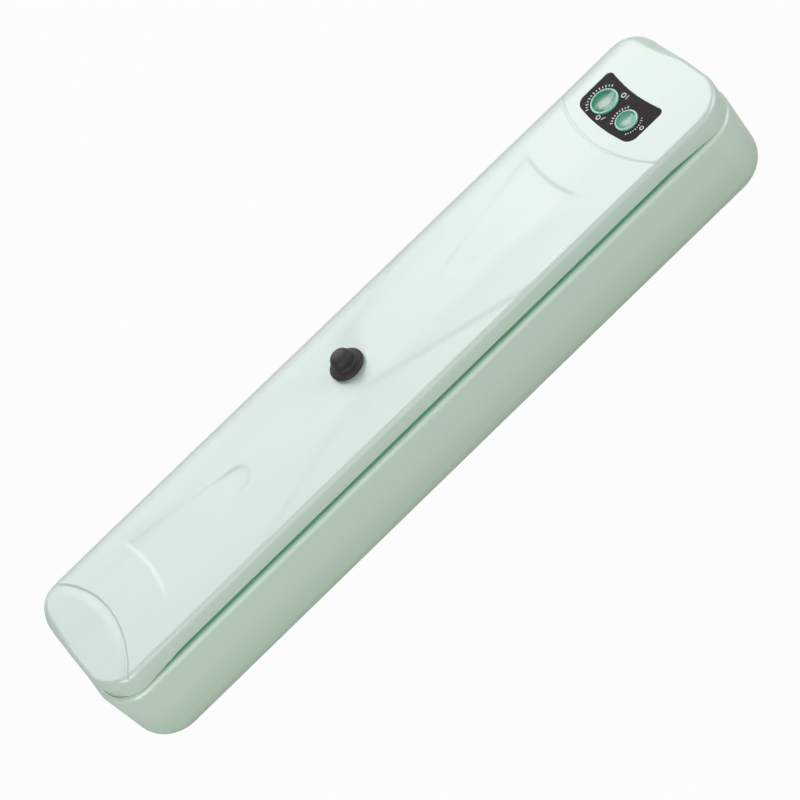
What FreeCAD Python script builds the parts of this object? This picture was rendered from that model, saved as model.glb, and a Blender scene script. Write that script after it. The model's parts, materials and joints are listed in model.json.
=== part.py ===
import FreeCAD
import Part
import math
import os

# A slim countertop vacuum sealer: a tub-shaped base, a full-length lid hinged along its rear edge,
# a rubber release plug on the lid and a control panel with two buttons at the right end.
# Millimetres. X runs along the body to the right, Y to the rear, Z up from the surface it stands on.

# Body
body_length = 360.0
body_width = 81.0
half_length = body_length / 2.0
half_width = body_width / 2.0
base_height = 39.2
corner_radius = 19.0
base_wall = 2.4
bottom_round = 10.0
shoulder_round = 2.0
foot_height = 2.0
foot_radius = 7.0
foot_sunk = 1.0
foot_edge = 0.6
foot_inset_x = 40.0
foot_inset_y = 17.5

# Lid form
lid_inset = 0.9
lid_gap = 0.8
lid_wall = 2.4
crest_height = 12.1
crown_radius = 1500.0
rear_roll = 15.5
lid_edge_round = 1.6
bag_slot_rise = 2.2
bag_slot_end_inset = 40.0
bag_slot_ramp = 30.0

# Relief on the lid, laid out about the middle of its long field
field_x = -12.5
wedge_end_inset = 62.0
wedge_length = 59.5
wedge_side_inset = 22.3
wedge_far = half_length - wedge_end_inset
wedge_near = wedge_far - wedge_length
wedge_half_width = half_width - wedge_side_inset
wedge_tip_radius = 6.0
wedge_depth = 0.9
wedge_draft = 1.2
end_groove_inset = 39.5
end_groove_reach = half_length - end_groove_inset
end_groove_radius = 64.0
end_groove_width = 2.0
end_groove_depth = 0.8
waist_apex = 13.5
waist_slope = 0.32
waist_tilt_degrees = 2.0

# Hinge
hinge_setback = 5.4
hinge_rise = 2.0
hinge_barrel_radius = 2.4
hinge_pin_radius = 1.2
hinge_end_inset = 85.0
hinge_span = body_length - 2.0 * hinge_end_inset
hinge_lug_width = 10.0
hinge_knuckle_length = 8.0
hinge_side_gap = 0.3
hinge_swing_gap = 0.35
hinge_arm_thickness = 1.8
hinge_arm_offset = 1.4

# Fits
press_gap = 0.01
running_gap = 0.05
drop_in_gap = 0.2
soft_gap = 0.3

# Deck, vacuum chamber and drip trough
deck_plate = 3.0
chamber_end_inset = 40.0
chamber_front_inset = 22.5
chamber_rear_inset = 14.5
chamber_length = body_length - 2.0 * chamber_end_inset
chamber_front = half_width - chamber_front_inset
chamber_rear = half_width - chamber_rear_inset
chamber_depth = 3.0
chamber_round = 10.0
chamber_floor = 2.2
trough_end_inset = 12.0
trough_side_inset = 10.0
trough_length = chamber_length - 2.0 * trough_end_inset
trough_front = chamber_front - trough_side_inset
trough_rear = chamber_rear - trough_side_inset
trough_depth = 6.0
trough_round = 6.0
rear_channel_depth = 3.6
rear_channel_inset = 10.9
rear_channel_front = half_width - rear_channel_inset

# Gaskets
gasket_width = 5.0
gasket_margin = 1.0

# Heater
heater_front_inset = 13.5
heater_overrun = 3.0
heater_y = heater_front_inset - half_width
heater_length = chamber_length + 2.0 * heater_overrun
heater_bed_width = 9.0
heater_bed_height = 4.0
heater_ribbon_width = 3.0
heater_ribbon_thickness = 0.2
heater_tape_width = 14.0
heater_tape_thickness = 0.2
heater_terminal_length = 8.0
heater_terminal_web = 1.0
heater_channel_wall = 1.8
pressure_strip_width = 8.0
pressure_strip_sunk = 2.0

# Lid liner
liner_plate = 1.8
liner_recess = 2.6
liner_skin = 1.6
liner_rear_gap = 0.6

# Release plug
plug_offset_x = 1.7
plug_x = field_x + plug_offset_x
plug_y = 2.1
plug_brim_radius = 8.2
plug_brim_height = 2.3
plug_dome_radius = 4.9
plug_height = 8.6
plug_brim_round = 1.1
plug_dome_curve = 9.0
plug_dome_round = 1.6
plug_root_round = 0.9
plug_flute_depth = 0.8
plug_stem_radius = 2.7
plug_barb_radius = 3.7
plug_barb_height = 1.6
plug_travel = 4.0
vent_bore_radius = 3.0
vent_tube_wall = 1.2
vent_tube_drop = 0.3

# Control panel and buttons
panel_end_inset = 25.6
panel_length = 19.8
panel_right = half_length - panel_end_inset
panel_left = panel_right - panel_length
panel_bow = 2.1
panel_half_width = 20.1
panel_corner_left = 4.0
panel_corner_right = 3.0
panel_seat_depth = 1.7
panel_sunk = 0.15
panel_ledge = 1.2
vacuum_button_inset = 9.6
vacuum_button_x = panel_left + vacuum_button_inset
vacuum_button_y = 8.6
vacuum_button_radius = 6.6
seal_button_inset = 8.9
seal_button_x = panel_left + seal_button_inset
seal_button_y = -8.8
seal_button_radius = 5.3
button_gap = 0.15
button_proud = 0.6
button_dish_depth = 0.7
button_dish_margin = 1.3
button_flange = 0.8
button_flange_height = 0.9
button_travel = 0.6
control_board_thickness = 1.2
control_board_standoff = 0.5
control_board_side_inset = 2.5
control_board_half_width = panel_half_width - control_board_side_inset
control_board_margin = 1.4
control_post_radius = 1.5
tact_side = 6.0
tact_height = 1.6
tact_plunger_radius = 1.5
lens_led_size = 1.2

# Lid fasteners
lid_screw_radius = 1.1
lid_screw_head_radius = 2.0
lid_screw_head_height = 1.0
lid_screw_depth = 3.3
lid_boss_radius = 2.3
lid_screw_end_inset = 12.0
lid_screw_side_inset = 23.5
lid_screw_front_inset = 5.3
lid_screw_front_span = 95.0
lid_screw_end_x = half_length - lid_screw_end_inset
lid_screw_end_y = half_width - lid_screw_side_inset
lid_screw_front_y = lid_screw_front_inset - half_width

# Base fasteners
base_screw_radius = 1.5
base_screw_head_radius = 2.8
base_screw_head_height = 2.2
base_screw_bite = 9.0
base_screw_slot_depth = 1.0
base_screw_slot_half = 0.5
base_pillar_radius = 4.0
base_pillar_seat = 3.0
deck_boss_length = 12.0
base_screw_end_inset = 13.0
base_screw_side_inset = 17.5
base_screw_rear_inset = 7.5
base_screw_rear_span = 100.0
base_screw_end_x = half_length - base_screw_end_inset
base_screw_end_y = half_width - base_screw_side_inset
base_screw_rear_y = half_width - base_screw_rear_inset

# Vacuum pump
port_end_inset = 7.5
port_side_inset = 4.0
port_x = field_x + trough_length / 2.0 - port_end_inset
pump_y = port_side_inset - trough_front
pump_run = 88.0
pump_clearance = 1.5
motor_x = port_x - pump_run
motor_length = 31.0
motor_wall = 0.8
motor_endcap_length = 3.0
magnet_thickness = 2.0
motor_air_gap = 0.6
armature_length = 18.0
armature_offset = 1.0
armature_slot_radius = 1.2
shaft_radius = 1.0
shaft_overhang = 9.0
shaft_tail = 1.0
pump_flange = 1.8
pump_case_length = 15.0
pump_case_wall = 1.8
pump_case_bore = 3.0
pump_screw_wall = 0.5
eccentric_radius = 6.0
eccentric_length = 4.0
crank_pin_radius = 0.8
crank_pin_offset = 2.5
crank_pin_length = 3.0
wobble_inset = 3.5
wobble_thickness = 2.0
diaphragm_thickness = 1.2
diaphragm_cup_radius = 2.4
valve_plate_thickness = 3.8
pump_cover_thickness = 5.0
nipple_radius = 1.8
nipple_bore = 1.1
nipple_length = 9.0
pump_screw_radius = 0.7
pump_screw_edge = 1.1
pump_screw_head_radius = 1.2
pump_screw_head_height = 1.0
sleeve_length = 16.0
sleeve_thickness = 1.4
cradle_edge = 0.2
strap_width = 8.0
strap_thickness = 0.8
cradle_screw_gap = 0.6
cradle_screw_radius = 1.4
cradle_screw_head_radius = 2.4
cradle_screw_head_height = 1.6

# Vacuum hose and port
hose_radius = 3.0
hose_bend = 7.0
port_flange_radius = 3.8
port_flange_height = 1.2

# Power board
board_end_inset = 30.0
board_x = board_end_inset - half_length
board_length = 88.0
board_half_width = 26.0
board_thickness = 1.6
board_standoff = 5.0
board_hole_inset = 4.0
board_post_radius = 3.0
board_screw_radius = 1.2
board_screw_head_radius = 2.4
board_screw_head_height = 1.6
core_length = 28.0
core_width = 24.0
core_height = 12.0
core_leg = 7.0
core_window = 18.0
core_window_width = 4.6
winding_clearance = 3.2
core_inset = 26.0
core_x = board_x + core_inset
core_y = -6.0
capacitor_radius = 5.0
capacitor_height = 16.0
capacitor_inset = 55.0
capacitor_x = board_x + capacitor_inset
capacitor_pitch = 13.0
relay_length = 19.0
relay_width = 15.0
relay_height = 14.0
relay_inset = 64.0
relay_x = board_x + relay_inset
relay_y = 13.0
header_length = 8.0
header_width = 5.0
header_height = 6.0
header_inset_left = 6.0
header_inset_right = 10.0
heater_header_y = -14.0
return_header_y = -16.0
motor_header_y = -5.0
control_header_y = 7.0

# Mains inlet in the left end
inlet_drop = 12.4
inlet_pin_pitch = 8.6
inlet_pin_radius = 1.18
inlet_lobe_radius = 3.4
inlet_waist = 2.9
inlet_wall = 0.9
inlet_bezel_lip = 0.7
inlet_proud = 1.3
inlet_socket_depth = 13.0
inlet_back = 3.0
inlet_pin_reach = 10.0
inlet_pin_tail = 4.0

# Lid switch
switch_end_inset = 23.0
switch_x = half_length - switch_end_inset
switch_y = -10.0
switch_length = 12.8
switch_thickness = 5.8
switch_height = 6.5
switch_drop = 0.7
switch_plunger_radius = 1.25
switch_plunger_sunk = 2.1
switch_rib = 1.6
switch_travel = 1.5

# Wires
lead_radius = 1.1
lead_bend = 5.0
lead_rise = 7.0
cable_radius = 1.2
cable_bend = 3.0
cable_meet_inset = 26.5
cable_drop_inset = 22.0
cable_drop_y = 10.0
cable_drop_z = 7.0
cable_meet_x = half_length - cable_meet_inset
cable_drop_x = half_length - cable_drop_inset
cable_notch_gap = 1.0
cable_board_inset = 30.0
cable_board_x = half_length - cable_board_inset
cable_rise_run = 7.5
lead_slope_run = 20.0
cable_slope_run = 30.0

# Heights and places worked out from the sizes above
reach = 2.0 * body_length
z_floor = foot_height + base_wall
z_part = foot_height + base_height
z_lid = z_part + lid_gap
z_crest = z_part + crest_height
lid_half_width = half_width - lid_inset
hinge_y = lid_half_width - hinge_setback
hinge_z = z_part + hinge_rise
hinge_arm_y = hinge_y - hinge_arm_offset - hinge_arm_thickness
hinge_xs = [field_x - hinge_span / 2.0, field_x + hinge_span / 2.0]
z_chamber = z_part - chamber_depth
z_trough = z_chamber - trough_depth
z_deck_under = z_part - deck_plate
z_liner_top = z_lid + liner_plate
z_liner_recess = z_lid + liner_recess
z_lower_seal = z_part + lid_gap / 2.0 - soft_gap / 2.0
z_upper_seal = z_lower_seal + soft_gap
z_panel_seat = z_crest - panel_seat_depth
plug_z = z_crest + soft_gap
inlet_z = z_part - inlet_drop
z_roof = z_trough - chamber_floor
pump_z = (z_floor + z_roof) / 2.0
motor_radius = (z_roof - z_floor) / 2.0 - pump_clearance - sleeve_thickness - strap_thickness
armature_radius = motor_radius - motor_wall - magnet_thickness - motor_air_gap
pump_radius = motor_radius + pump_flange
pump_screw_circle = pump_radius - pump_screw_edge
wobble_radius = pump_radius - wobble_inset
diaphragm_cup_reach = pump_radius / 2.0
strap_radius = motor_radius + sleeve_thickness + strap_thickness + press_gap
cradle_screw_offset = strap_radius + cradle_screw_head_radius + cradle_screw_gap
cradle_half_width = cradle_screw_offset + cradle_screw_head_radius + cradle_edge
cable_notch = cable_radius + cable_notch_gap
cut_depth = 60.0
over = 1.0
pick = 0.01


def vec(x, y, z):
    return FreeCAD.Vector(x, y, z)


def box(x0, x1, y0, y1, z0, z1):
    return Part.makeBox(x1 - x0, y1 - y0, z1 - z0, vec(x0, y0, z0))


def post(x, y, z0, z1, radius):
    return Part.makeCylinder(radius, z1 - z0, vec(x, y, z0))


def bar(x0, x1, y, z, radius):
    return Part.makeCylinder(radius, x1 - x0, vec(x0, y, z), vec(1, 0, 0))


def fuse(shapes):
    return shapes[0].multiFuse(shapes[1:]).removeSplitter()


def cut(shape, tools):
    return shape.cut(tools)


def group(shapes):
    solids = [solid for shape in shapes for solid in shape.Solids]
    return Part.makeCompound(solids)


def outline(x0, x1, y0, y1, radius, z):
    # A rectangle with round corners, as a face at height z.
    near = radius * (1.0 - math.sqrt(0.5))
    edges = [
        Part.makeLine(vec(x0 + radius, y0, z), vec(x1 - radius, y0, z)),
        Part.Arc(vec(x1 - radius, y0, z), vec(x1 - near, y0 + near, z), vec(x1, y0 + radius, z)).toShape(),
        Part.makeLine(vec(x1, y0 + radius, z), vec(x1, y1 - radius, z)),
        Part.Arc(vec(x1, y1 - radius, z), vec(x1 - near, y1 - near, z), vec(x1 - radius, y1, z)).toShape(),
        Part.makeLine(vec(x1 - radius, y1, z), vec(x0 + radius, y1, z)),
        Part.Arc(vec(x0 + radius, y1, z), vec(x0 + near, y1 - near, z), vec(x0, y1 - radius, z)).toShape(),
        Part.makeLine(vec(x0, y1 - radius, z), vec(x0, y0 + radius, z)),
        Part.Arc(vec(x0, y0 + radius, z), vec(x0 + near, y0 + near, z), vec(x0 + radius, y0, z)).toShape(),
    ]
    return Part.Face(Part.Wire(edges))


def slab(x0, x1, y0, y1, radius, z0, z1):
    return outline(x0, x1, y0, y1, radius, z0).extrude(vec(0, 0, z1 - z0))


def body_slab(inset, z0, z1):
    # The body's plan, drawn in by an inset.
    x = half_length - inset
    y = half_width - inset
    return slab(-x, x, -y, y, corner_radius - inset, z0, z1)


def chamber_slab(grow, z0, z1):
    x = chamber_length / 2.0 + grow
    front = -chamber_front - grow
    return slab(field_x - x, field_x + x, front, chamber_rear + grow, chamber_round + grow, z0, z1)


def trough_slab(grow, z0, z1):
    x = trough_length / 2.0 + grow
    front = -trough_front - grow
    return slab(field_x - x, field_x + x, front, trough_rear + grow, trough_round + grow, z0, z1)


def heater_box(half_wide, extra_length, z0, z1):
    x = heater_length / 2.0 + extra_length
    return box(field_x - x, field_x + x, heater_y - half_wide, heater_y + half_wide, z0, z1)


def lid_skin(depth):
    # Everything under the lid's crowned top and rolled rear, drawn in by a depth.
    roll_y = lid_half_width - rear_roll
    crown_z = z_crest - crown_radius
    between = crown_radius - rear_roll
    roll_z = crown_z + math.sqrt(between ** 2 - roll_y ** 2)
    crown = crown_radius - depth
    roll = rear_roll - depth
    join = vec(-reach, roll_y / between * crown, crown_z + (roll_z - crown_z) / between * crown)
    front_y = -body_width

    def on_crown(y):
        return vec(-reach, y, crown_z + math.sqrt(crown ** 2 - y ** 2))

    half_turn = math.atan2(join.z - roll_z, join.y - roll_y) / 2.0
    on_roll = vec(-reach, roll_y + roll * math.cos(half_turn), roll_z + roll * math.sin(half_turn))
    rear = vec(-reach, roll_y + roll, roll_z)
    low_rear = vec(-reach, roll_y + roll, roll_z - cut_depth)
    low_front = vec(-reach, front_y, roll_z - cut_depth)
    edges = [
        Part.Arc(on_crown(front_y), on_crown((front_y + join.y) / 2.0), join).toShape(),
        Part.Arc(join, on_roll, rear).toShape(),
        Part.makeLine(rear, low_rear),
        Part.makeLine(low_rear, low_front),
        Part.makeLine(low_front, on_crown(front_y)),
    ]
    return Part.Face(Part.Wire(edges)).extrude(vec(2.0 * reach, 0, 0))


def route(points, bend, radius):
    # A round wire through straight runs joined by tangent arcs.
    edges = []
    start = points[0]
    for i in range(1, len(points) - 1):
        back = (points[i - 1] - points[i]).normalize()
        ahead = (points[i + 1] - points[i]).normalize()
        half_turn = (math.pi - back.getAngle(ahead)) / 2.0
        tangent = bend * math.tan(half_turn)
        into = points[i] + back * tangent
        out = points[i] + ahead * tangent
        centre_way = (back + ahead).normalize()
        middle = points[i] + centre_way * (bend / math.cos(half_turn) - bend)
        edges.append(Part.makeLine(start, into))
        edges.append(Part.Arc(into, middle, out).toShape())
        start = out
    edges.append(Part.makeLine(start, points[-1]))
    path = Part.Wire(edges)
    section = Part.Wire(Part.makeCircle(radius, points[0], points[1] - points[0]))
    return path.makePipeShell([section], True, False)


# Base

base_screw_places = [
    (sx * base_screw_end_x, sy * base_screw_end_y) for sx in (-1, 1) for sy in (-1, 1)
] + [(field_x + side * base_screw_rear_span / 2.0, base_screw_rear_y) for side in (-1, 1)]
z_deck_boss = z_deck_under - deck_boss_length
z_screw_seat = z_deck_boss - base_pillar_seat
foot_places = [
    (sx * (half_length - foot_inset_x), sy * (half_width - foot_inset_y)) for sx in (-1, 1) for sy in (-1, 1)
]
board_z = z_floor + board_standoff
board_top = board_z + board_thickness
winding_height = z_roof - board_top - winding_clearance
board_screw_places = [
    (board_x + along, side * (board_half_width - board_hole_inset))
    for along in (board_hole_inset, board_length - board_hole_inset)
    for side in (-1, 1)
]
cradle_x = motor_x + motor_length / 2.0
swing_radius = math.hypot(lid_half_width - hinge_y, hinge_z - z_lid) + hinge_swing_gap
lid_corner_x = half_length - corner_radius
lid_corner_y = half_width - corner_radius
swing_half_length = lid_corner_x + hinge_swing_gap + math.sqrt(
    (corner_radius - lid_inset) ** 2 - (hinge_y - lid_corner_y) ** 2
)


def inlet_plan(lobe, waist, x0, x1):
    # A figure-of-eight prism along X about the two pins.
    side = inlet_pin_pitch / 2.0
    return fuse([
        bar(x0, x1, -side, inlet_z, lobe),
        bar(x0, x1, side, inlet_z, lobe),
        box(x0, x1, -side, side, inlet_z - waist, inlet_z + waist),
    ])


def make_base_shell():
    shell = body_slab(0.0, foot_height, z_part)
    low = [e for e in shell.Edges if e.BoundBox.ZMax < foot_height + pick]
    shell = shell.makeFillet(bottom_round, low)
    top = [e for e in shell.Edges if e.BoundBox.ZMin > z_part - pick]
    shell = shell.makeFillet(shoulder_round, top)
    hollow = body_slab(base_wall, z_floor, z_part + over)
    low = [e for e in hollow.Edges if e.BoundBox.ZMax < z_floor + pick]
    hollow = hollow.makeFillet(bottom_round - base_wall, low)
    tools = [hollow, bar(-swing_half_length, swing_half_length, hinge_y, hinge_z, swing_radius)]
    shell = cut(shell, tools)
    adds = [shell]
    for x, y in base_screw_places:
        adds.append(post(x, y, z_floor - base_wall / 2.0, z_deck_boss, base_pillar_radius))
    for x, y in board_screw_places:
        adds.append(post(x, y, z_floor - base_wall / 2.0, board_z, board_post_radius))
    # Each hinge lug is a gooseneck: the lid's rear wall swings down behind its arm.
    for x in hinge_xs:
        x0 = x - hinge_lug_width / 2.0
        x1 = x + hinge_lug_width / 2.0
        arm_rear = hinge_arm_y + hinge_arm_thickness
        foot_top = hinge_z - swing_radius
        foot_low = foot_top - hinge_lug_width
        adds.append(box(x0, x1, hinge_arm_y, half_width - base_wall / 2.0, foot_low, foot_top))
        adds.append(box(x0, x1, hinge_arm_y, arm_rear, foot_low, hinge_z))
        adds.append(bar(x0, x1, hinge_y, hinge_z, hinge_barrel_radius))
    shell = fuse(adds)
    lobe = inlet_lobe_radius + inlet_wall + press_gap
    tools = [inlet_plan(lobe, lobe, -half_length - over, -half_length + base_wall + over)]
    for x, y in foot_places:
        tools.append(post(x, y, foot_height - over, foot_height + foot_sunk, foot_radius + press_gap))
    for x, y in base_screw_places:
        tools.append(post(x, y, foot_height - over, z_screw_seat, base_screw_head_radius + drop_in_gap))
        tools.append(post(x, y, z_screw_seat, z_deck_boss, base_screw_radius + drop_in_gap))
    for x, y in board_screw_places:
        tools.append(post(x, y, z_floor, board_z, board_screw_radius + press_gap))
    for side in (-1, 1):
        y = pump_y + side * cradle_screw_offset
        tools.append(post(cradle_x, y, foot_height + foot_sunk, z_floor, cradle_screw_radius + press_gap))
    pin_hole = hinge_pin_radius + press_gap
    for x in hinge_xs:
        tools.append(bar(x - hinge_lug_width, x + hinge_lug_width, hinge_y, hinge_z, pin_hole))
    return cut(shell, tools)


def make_feet():
    feet = []
    for x, y in foot_places:
        foot = post(x, y, 0.0, foot_height + foot_sunk, foot_radius)
        low = [e for e in foot.Edges if e.BoundBox.ZMax < pick]
        feet.append(foot.makeFillet(foot_edge, low))
    return group(feet)


def make_base_screws():
    screws = []
    for x, y in base_screw_places:
        head = post(x, y, z_screw_seat - base_screw_head_height, z_screw_seat, base_screw_head_radius)
        shank = post(x, y, z_screw_seat, z_deck_boss + base_screw_bite, base_screw_radius)
        low = z_screw_seat - base_screw_head_height
        high = low + base_screw_slot_depth
        x0 = x - base_screw_radius
        x1 = x + base_screw_radius
        slot = box(x0, x1, y - base_screw_slot_half, y + base_screw_slot_half, low, high)
        screws.append(cut(fuse([head, shank]), [slot]))
    return group(screws)


def make_base_deck():
    under_chamber = z_chamber - chamber_floor
    bed_under = z_lower_seal - heater_tape_thickness - heater_ribbon_thickness - heater_bed_height
    channel_half = heater_bed_width / 2.0
    channel_extra = heater_terminal_length + drop_in_gap
    plate = body_slab(base_wall + drop_in_gap, z_deck_under, z_part)
    channel_floor = z_part - rear_channel_depth
    inner = body_slab(base_wall + drop_in_gap, channel_floor - chamber_floor, z_part)
    rear = inner.common(box(-reach, reach, rear_channel_front - chamber_floor, reach, 0.0, z_part))
    adds = [
        plate,
        rear,
        chamber_slab(chamber_floor, under_chamber, z_part),
        trough_slab(chamber_floor, z_roof, z_part),
        heater_box(
            channel_half + heater_channel_wall, channel_extra + heater_channel_wall,
            bed_under - heater_channel_wall, z_part,
        ),
        box(
            switch_x - switch_length / 2.0, switch_x + switch_length / 2.0,
            switch_y - switch_thickness / 2.0 - switch_rib, switch_y - switch_thickness / 2.0,
            z_deck_under - switch_drop - switch_height, z_deck_under,
        ),
    ]
    for x, y in base_screw_places:
        adds.append(post(x, y, z_deck_boss, z_deck_under, base_pillar_radius))
    deck = fuse(adds)
    tools = [
        chamber_slab(0.0, z_chamber, z_part + over),
        trough_slab(0.0, z_trough, z_part + over),
        heater_box(channel_half + drop_in_gap / 2.0, channel_extra, bed_under, z_part + over),
        box(-reach, reach, rear_channel_front, reach, channel_floor, z_part + over),
        post(switch_x, switch_y, 0.0, z_part + over, switch_plunger_radius + running_gap),
        post(port_x, pump_y, 0.0, z_part, nipple_radius + press_gap),
        box(
            cable_drop_x - cable_notch, cable_drop_x + cable_notch,
            hinge_y - cable_drop_y - cable_notch, reach, 0.0, z_part + over,
        ),
    ]
    for x in hinge_xs:
        wide = hinge_lug_width / 2.0 + hinge_side_gap
        tools.append(box(x - wide, x + wide, hinge_arm_y - hinge_side_gap, reach, 0.0, z_part + over))
    hole_top = z_deck_boss + base_screw_bite + over
    for x, y in base_screw_places:
        tools.append(post(x, y, z_deck_boss, hole_top, base_screw_radius + press_gap))
    for side in (-1, 1):
        tools.append(post(terminal_x(side), heater_y, 0.0, z_part, lead_radius + drop_in_gap))
    return cut(deck, tools)


def terminal_x(side):
    return field_x + side * (heater_length + heater_terminal_length + drop_in_gap) / 2.0


def gasket_ring(z0, z1):
    outer = chamber_slab(-gasket_margin, z0, z1)
    return cut(outer, [chamber_slab(-gasket_margin - gasket_width, z0 - over, z1 + over)])


def make_heater():
    ribbon_top = z_lower_seal - heater_tape_thickness
    bed_top = ribbon_top - heater_ribbon_thickness
    bed_under = bed_top - heater_bed_height
    half_terminal = heater_terminal_length / 2.0
    tape_half = heater_tape_width / 2.0
    wide = heater_bed_width / 2.0
    terminals = []
    for side in (-1, 1):
        x = terminal_x(side)
        x0 = x - half_terminal
        x1 = x + half_terminal
        block = box(x0, x1, heater_y - wide, heater_y + wide, bed_under, bed_top)
        socket_top = bed_top - heater_terminal_web
        terminals.append(cut(block, [post(x, heater_y, bed_under, socket_top, lead_radius + press_gap)]))
    return {
        "heater_bed": heater_box(wide, 0.0, bed_under, bed_top),
        "heater_ribbon": heater_box(heater_ribbon_width / 2.0, heater_terminal_length, bed_top, ribbon_top),
        "heater_tape": heater_box(tape_half, half_terminal, ribbon_top, z_lower_seal),
        "heater_terminals": group(terminals),
    }


# Vacuum pump

motor_end = motor_x + motor_length
case_end = motor_end + pump_case_length
valve_x = case_end + diaphragm_thickness
cover_x = valve_x + valve_plate_thickness
cover_end = cover_x + pump_cover_thickness
nozzle_end = cover_end + nipple_length
pump_screw_start = case_end - pump_case_length / 2.0


def around_pump(radius):
    # Three places round the pump's axis: two above it and one below.
    turns = (math.pi / 6.0, math.pi * 5.0 / 6.0, math.pi * 1.5)
    return [(pump_y + radius * math.cos(a), pump_z + radius * math.sin(a)) for a in turns]


def pump_screw_holes():
    gap = pump_screw_radius + press_gap
    return [bar(pump_screw_start - over, cover_end, y, z, gap) for y, z in around_pump(-pump_screw_circle)]


def make_motor():
    can = bar(motor_x, motor_end, pump_y, pump_z, motor_radius)
    inside = motor_radius - motor_wall
    shaft_hole = shaft_radius + running_gap
    can = cut(can, [
        bar(motor_x - over, motor_end - pump_case_wall, pump_y, pump_z, inside),
        bar(motor_x, motor_end, pump_y, pump_z, shaft_hole),
    ])
    endcap = fuse([
        bar(motor_x - motor_endcap_length, motor_x, pump_y, pump_z, motor_radius),
        bar(motor_x, motor_x + motor_endcap_length, pump_y, pump_z, inside - press_gap),
    ])
    endcap = cut(endcap, [bar(-reach, motor_end, pump_y, pump_z, shaft_hole)])
    arm_x = motor_x + (motor_length - armature_length) / 2.0 + armature_offset
    ring = cut(
        bar(arm_x, arm_x + armature_length, pump_y, pump_z, inside - press_gap),
        [bar(-reach, motor_end, pump_y, pump_z, inside - magnet_thickness)],
    )
    split = box(-reach, motor_end, pump_y - magnet_thickness, pump_y + magnet_thickness, 0.0, z_part)
    armature = cut(
        bar(arm_x, arm_x + armature_length, pump_y, pump_z, armature_radius),
        [bar(-reach, motor_end, pump_y, pump_z, shaft_radius + press_gap)]
        + [bar(-reach, motor_end, y, z, armature_slot_radius) for y, z in around_pump(armature_radius)],
    )
    shaft_start = motor_x - motor_endcap_length - shaft_tail
    shaft_end = motor_end + shaft_overhang
    ecc_x = shaft_end - eccentric_length
    eccentric = cut(
        fuse([
            bar(ecc_x, shaft_end, pump_y, pump_z, eccentric_radius),
            bar(ecc_x, shaft_end + crank_pin_length, pump_y + crank_pin_offset, pump_z, crank_pin_radius),
        ]),
        [bar(-reach, shaft_end, pump_y, pump_z, shaft_radius + press_gap)],
    )
    return {
        "motor_can": can,
        "motor_endcap": endcap,
        "motor_magnets": group([cut(ring, [split])]),
        "motor_armature": armature,
        "motor_shaft": bar(shaft_start, shaft_end, pump_y, pump_z, shaft_radius),
        "pump_eccentric": eccentric,
    }


def make_pump():
    holes = pump_screw_holes()
    inside = pump_screw_circle - pump_screw_radius - pump_screw_wall
    cavity = bar(motor_end + pump_case_wall, case_end + over, pump_y, pump_z, inside)
    case = bar(motor_end, case_end, pump_y, pump_z, pump_radius)
    case = cut(case, [cavity, bar(motor_end - over, case_end, pump_y, pump_z, pump_case_bore)] + holes)
    crank_end = motor_end + shaft_overhang + crank_pin_length
    wobble_x = crank_end + soft_gap
    cup_places = around_pump(diaphragm_cup_reach)
    diaphragm = [bar(case_end, valve_x, pump_y, pump_z, pump_radius)]
    for y, z in cup_places:
        diaphragm.append(bar(wobble_x + wobble_thickness, valve_x, y, z, diaphragm_cup_radius))
    valve = bar(valve_x, cover_x, pump_y, pump_z, pump_radius)
    ports = [bar(valve_x - over, cover_x + over, y, z, nipple_bore) for y, z in cup_places]
    cover = fuse([
        bar(cover_x, cover_end, pump_y, pump_z, pump_radius),
        bar(cover_end, nozzle_end, pump_y, pump_z, nipple_radius),
    ])
    bowl_radius = diaphragm_cup_reach + diaphragm_cup_radius
    bowl = bar(cover_x, cover_end - pump_case_wall, pump_y, pump_z, bowl_radius)
    duct = bar(cover_x, nozzle_end + over, pump_y, pump_z, nipple_bore)
    screws = []
    for y, z in around_pump(-pump_screw_circle):
        screws.append(fuse([
            bar(pump_screw_start, cover_end, y, z, pump_screw_radius),
            bar(cover_end, cover_end + pump_screw_head_height, y, z, pump_screw_head_radius),
        ]))
    return {
        "pump_case": case,
        "wobble_plate": bar(wobble_x, wobble_x + wobble_thickness, pump_y, pump_z, wobble_radius),
        "pump_diaphragm": cut(fuse(diaphragm), holes),
        "valve_plate": cut(valve, holes + ports),
        "pump_cover": cut(cover, holes + [bowl, duct]),
        "pump_screws": group(screws),
    }


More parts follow.
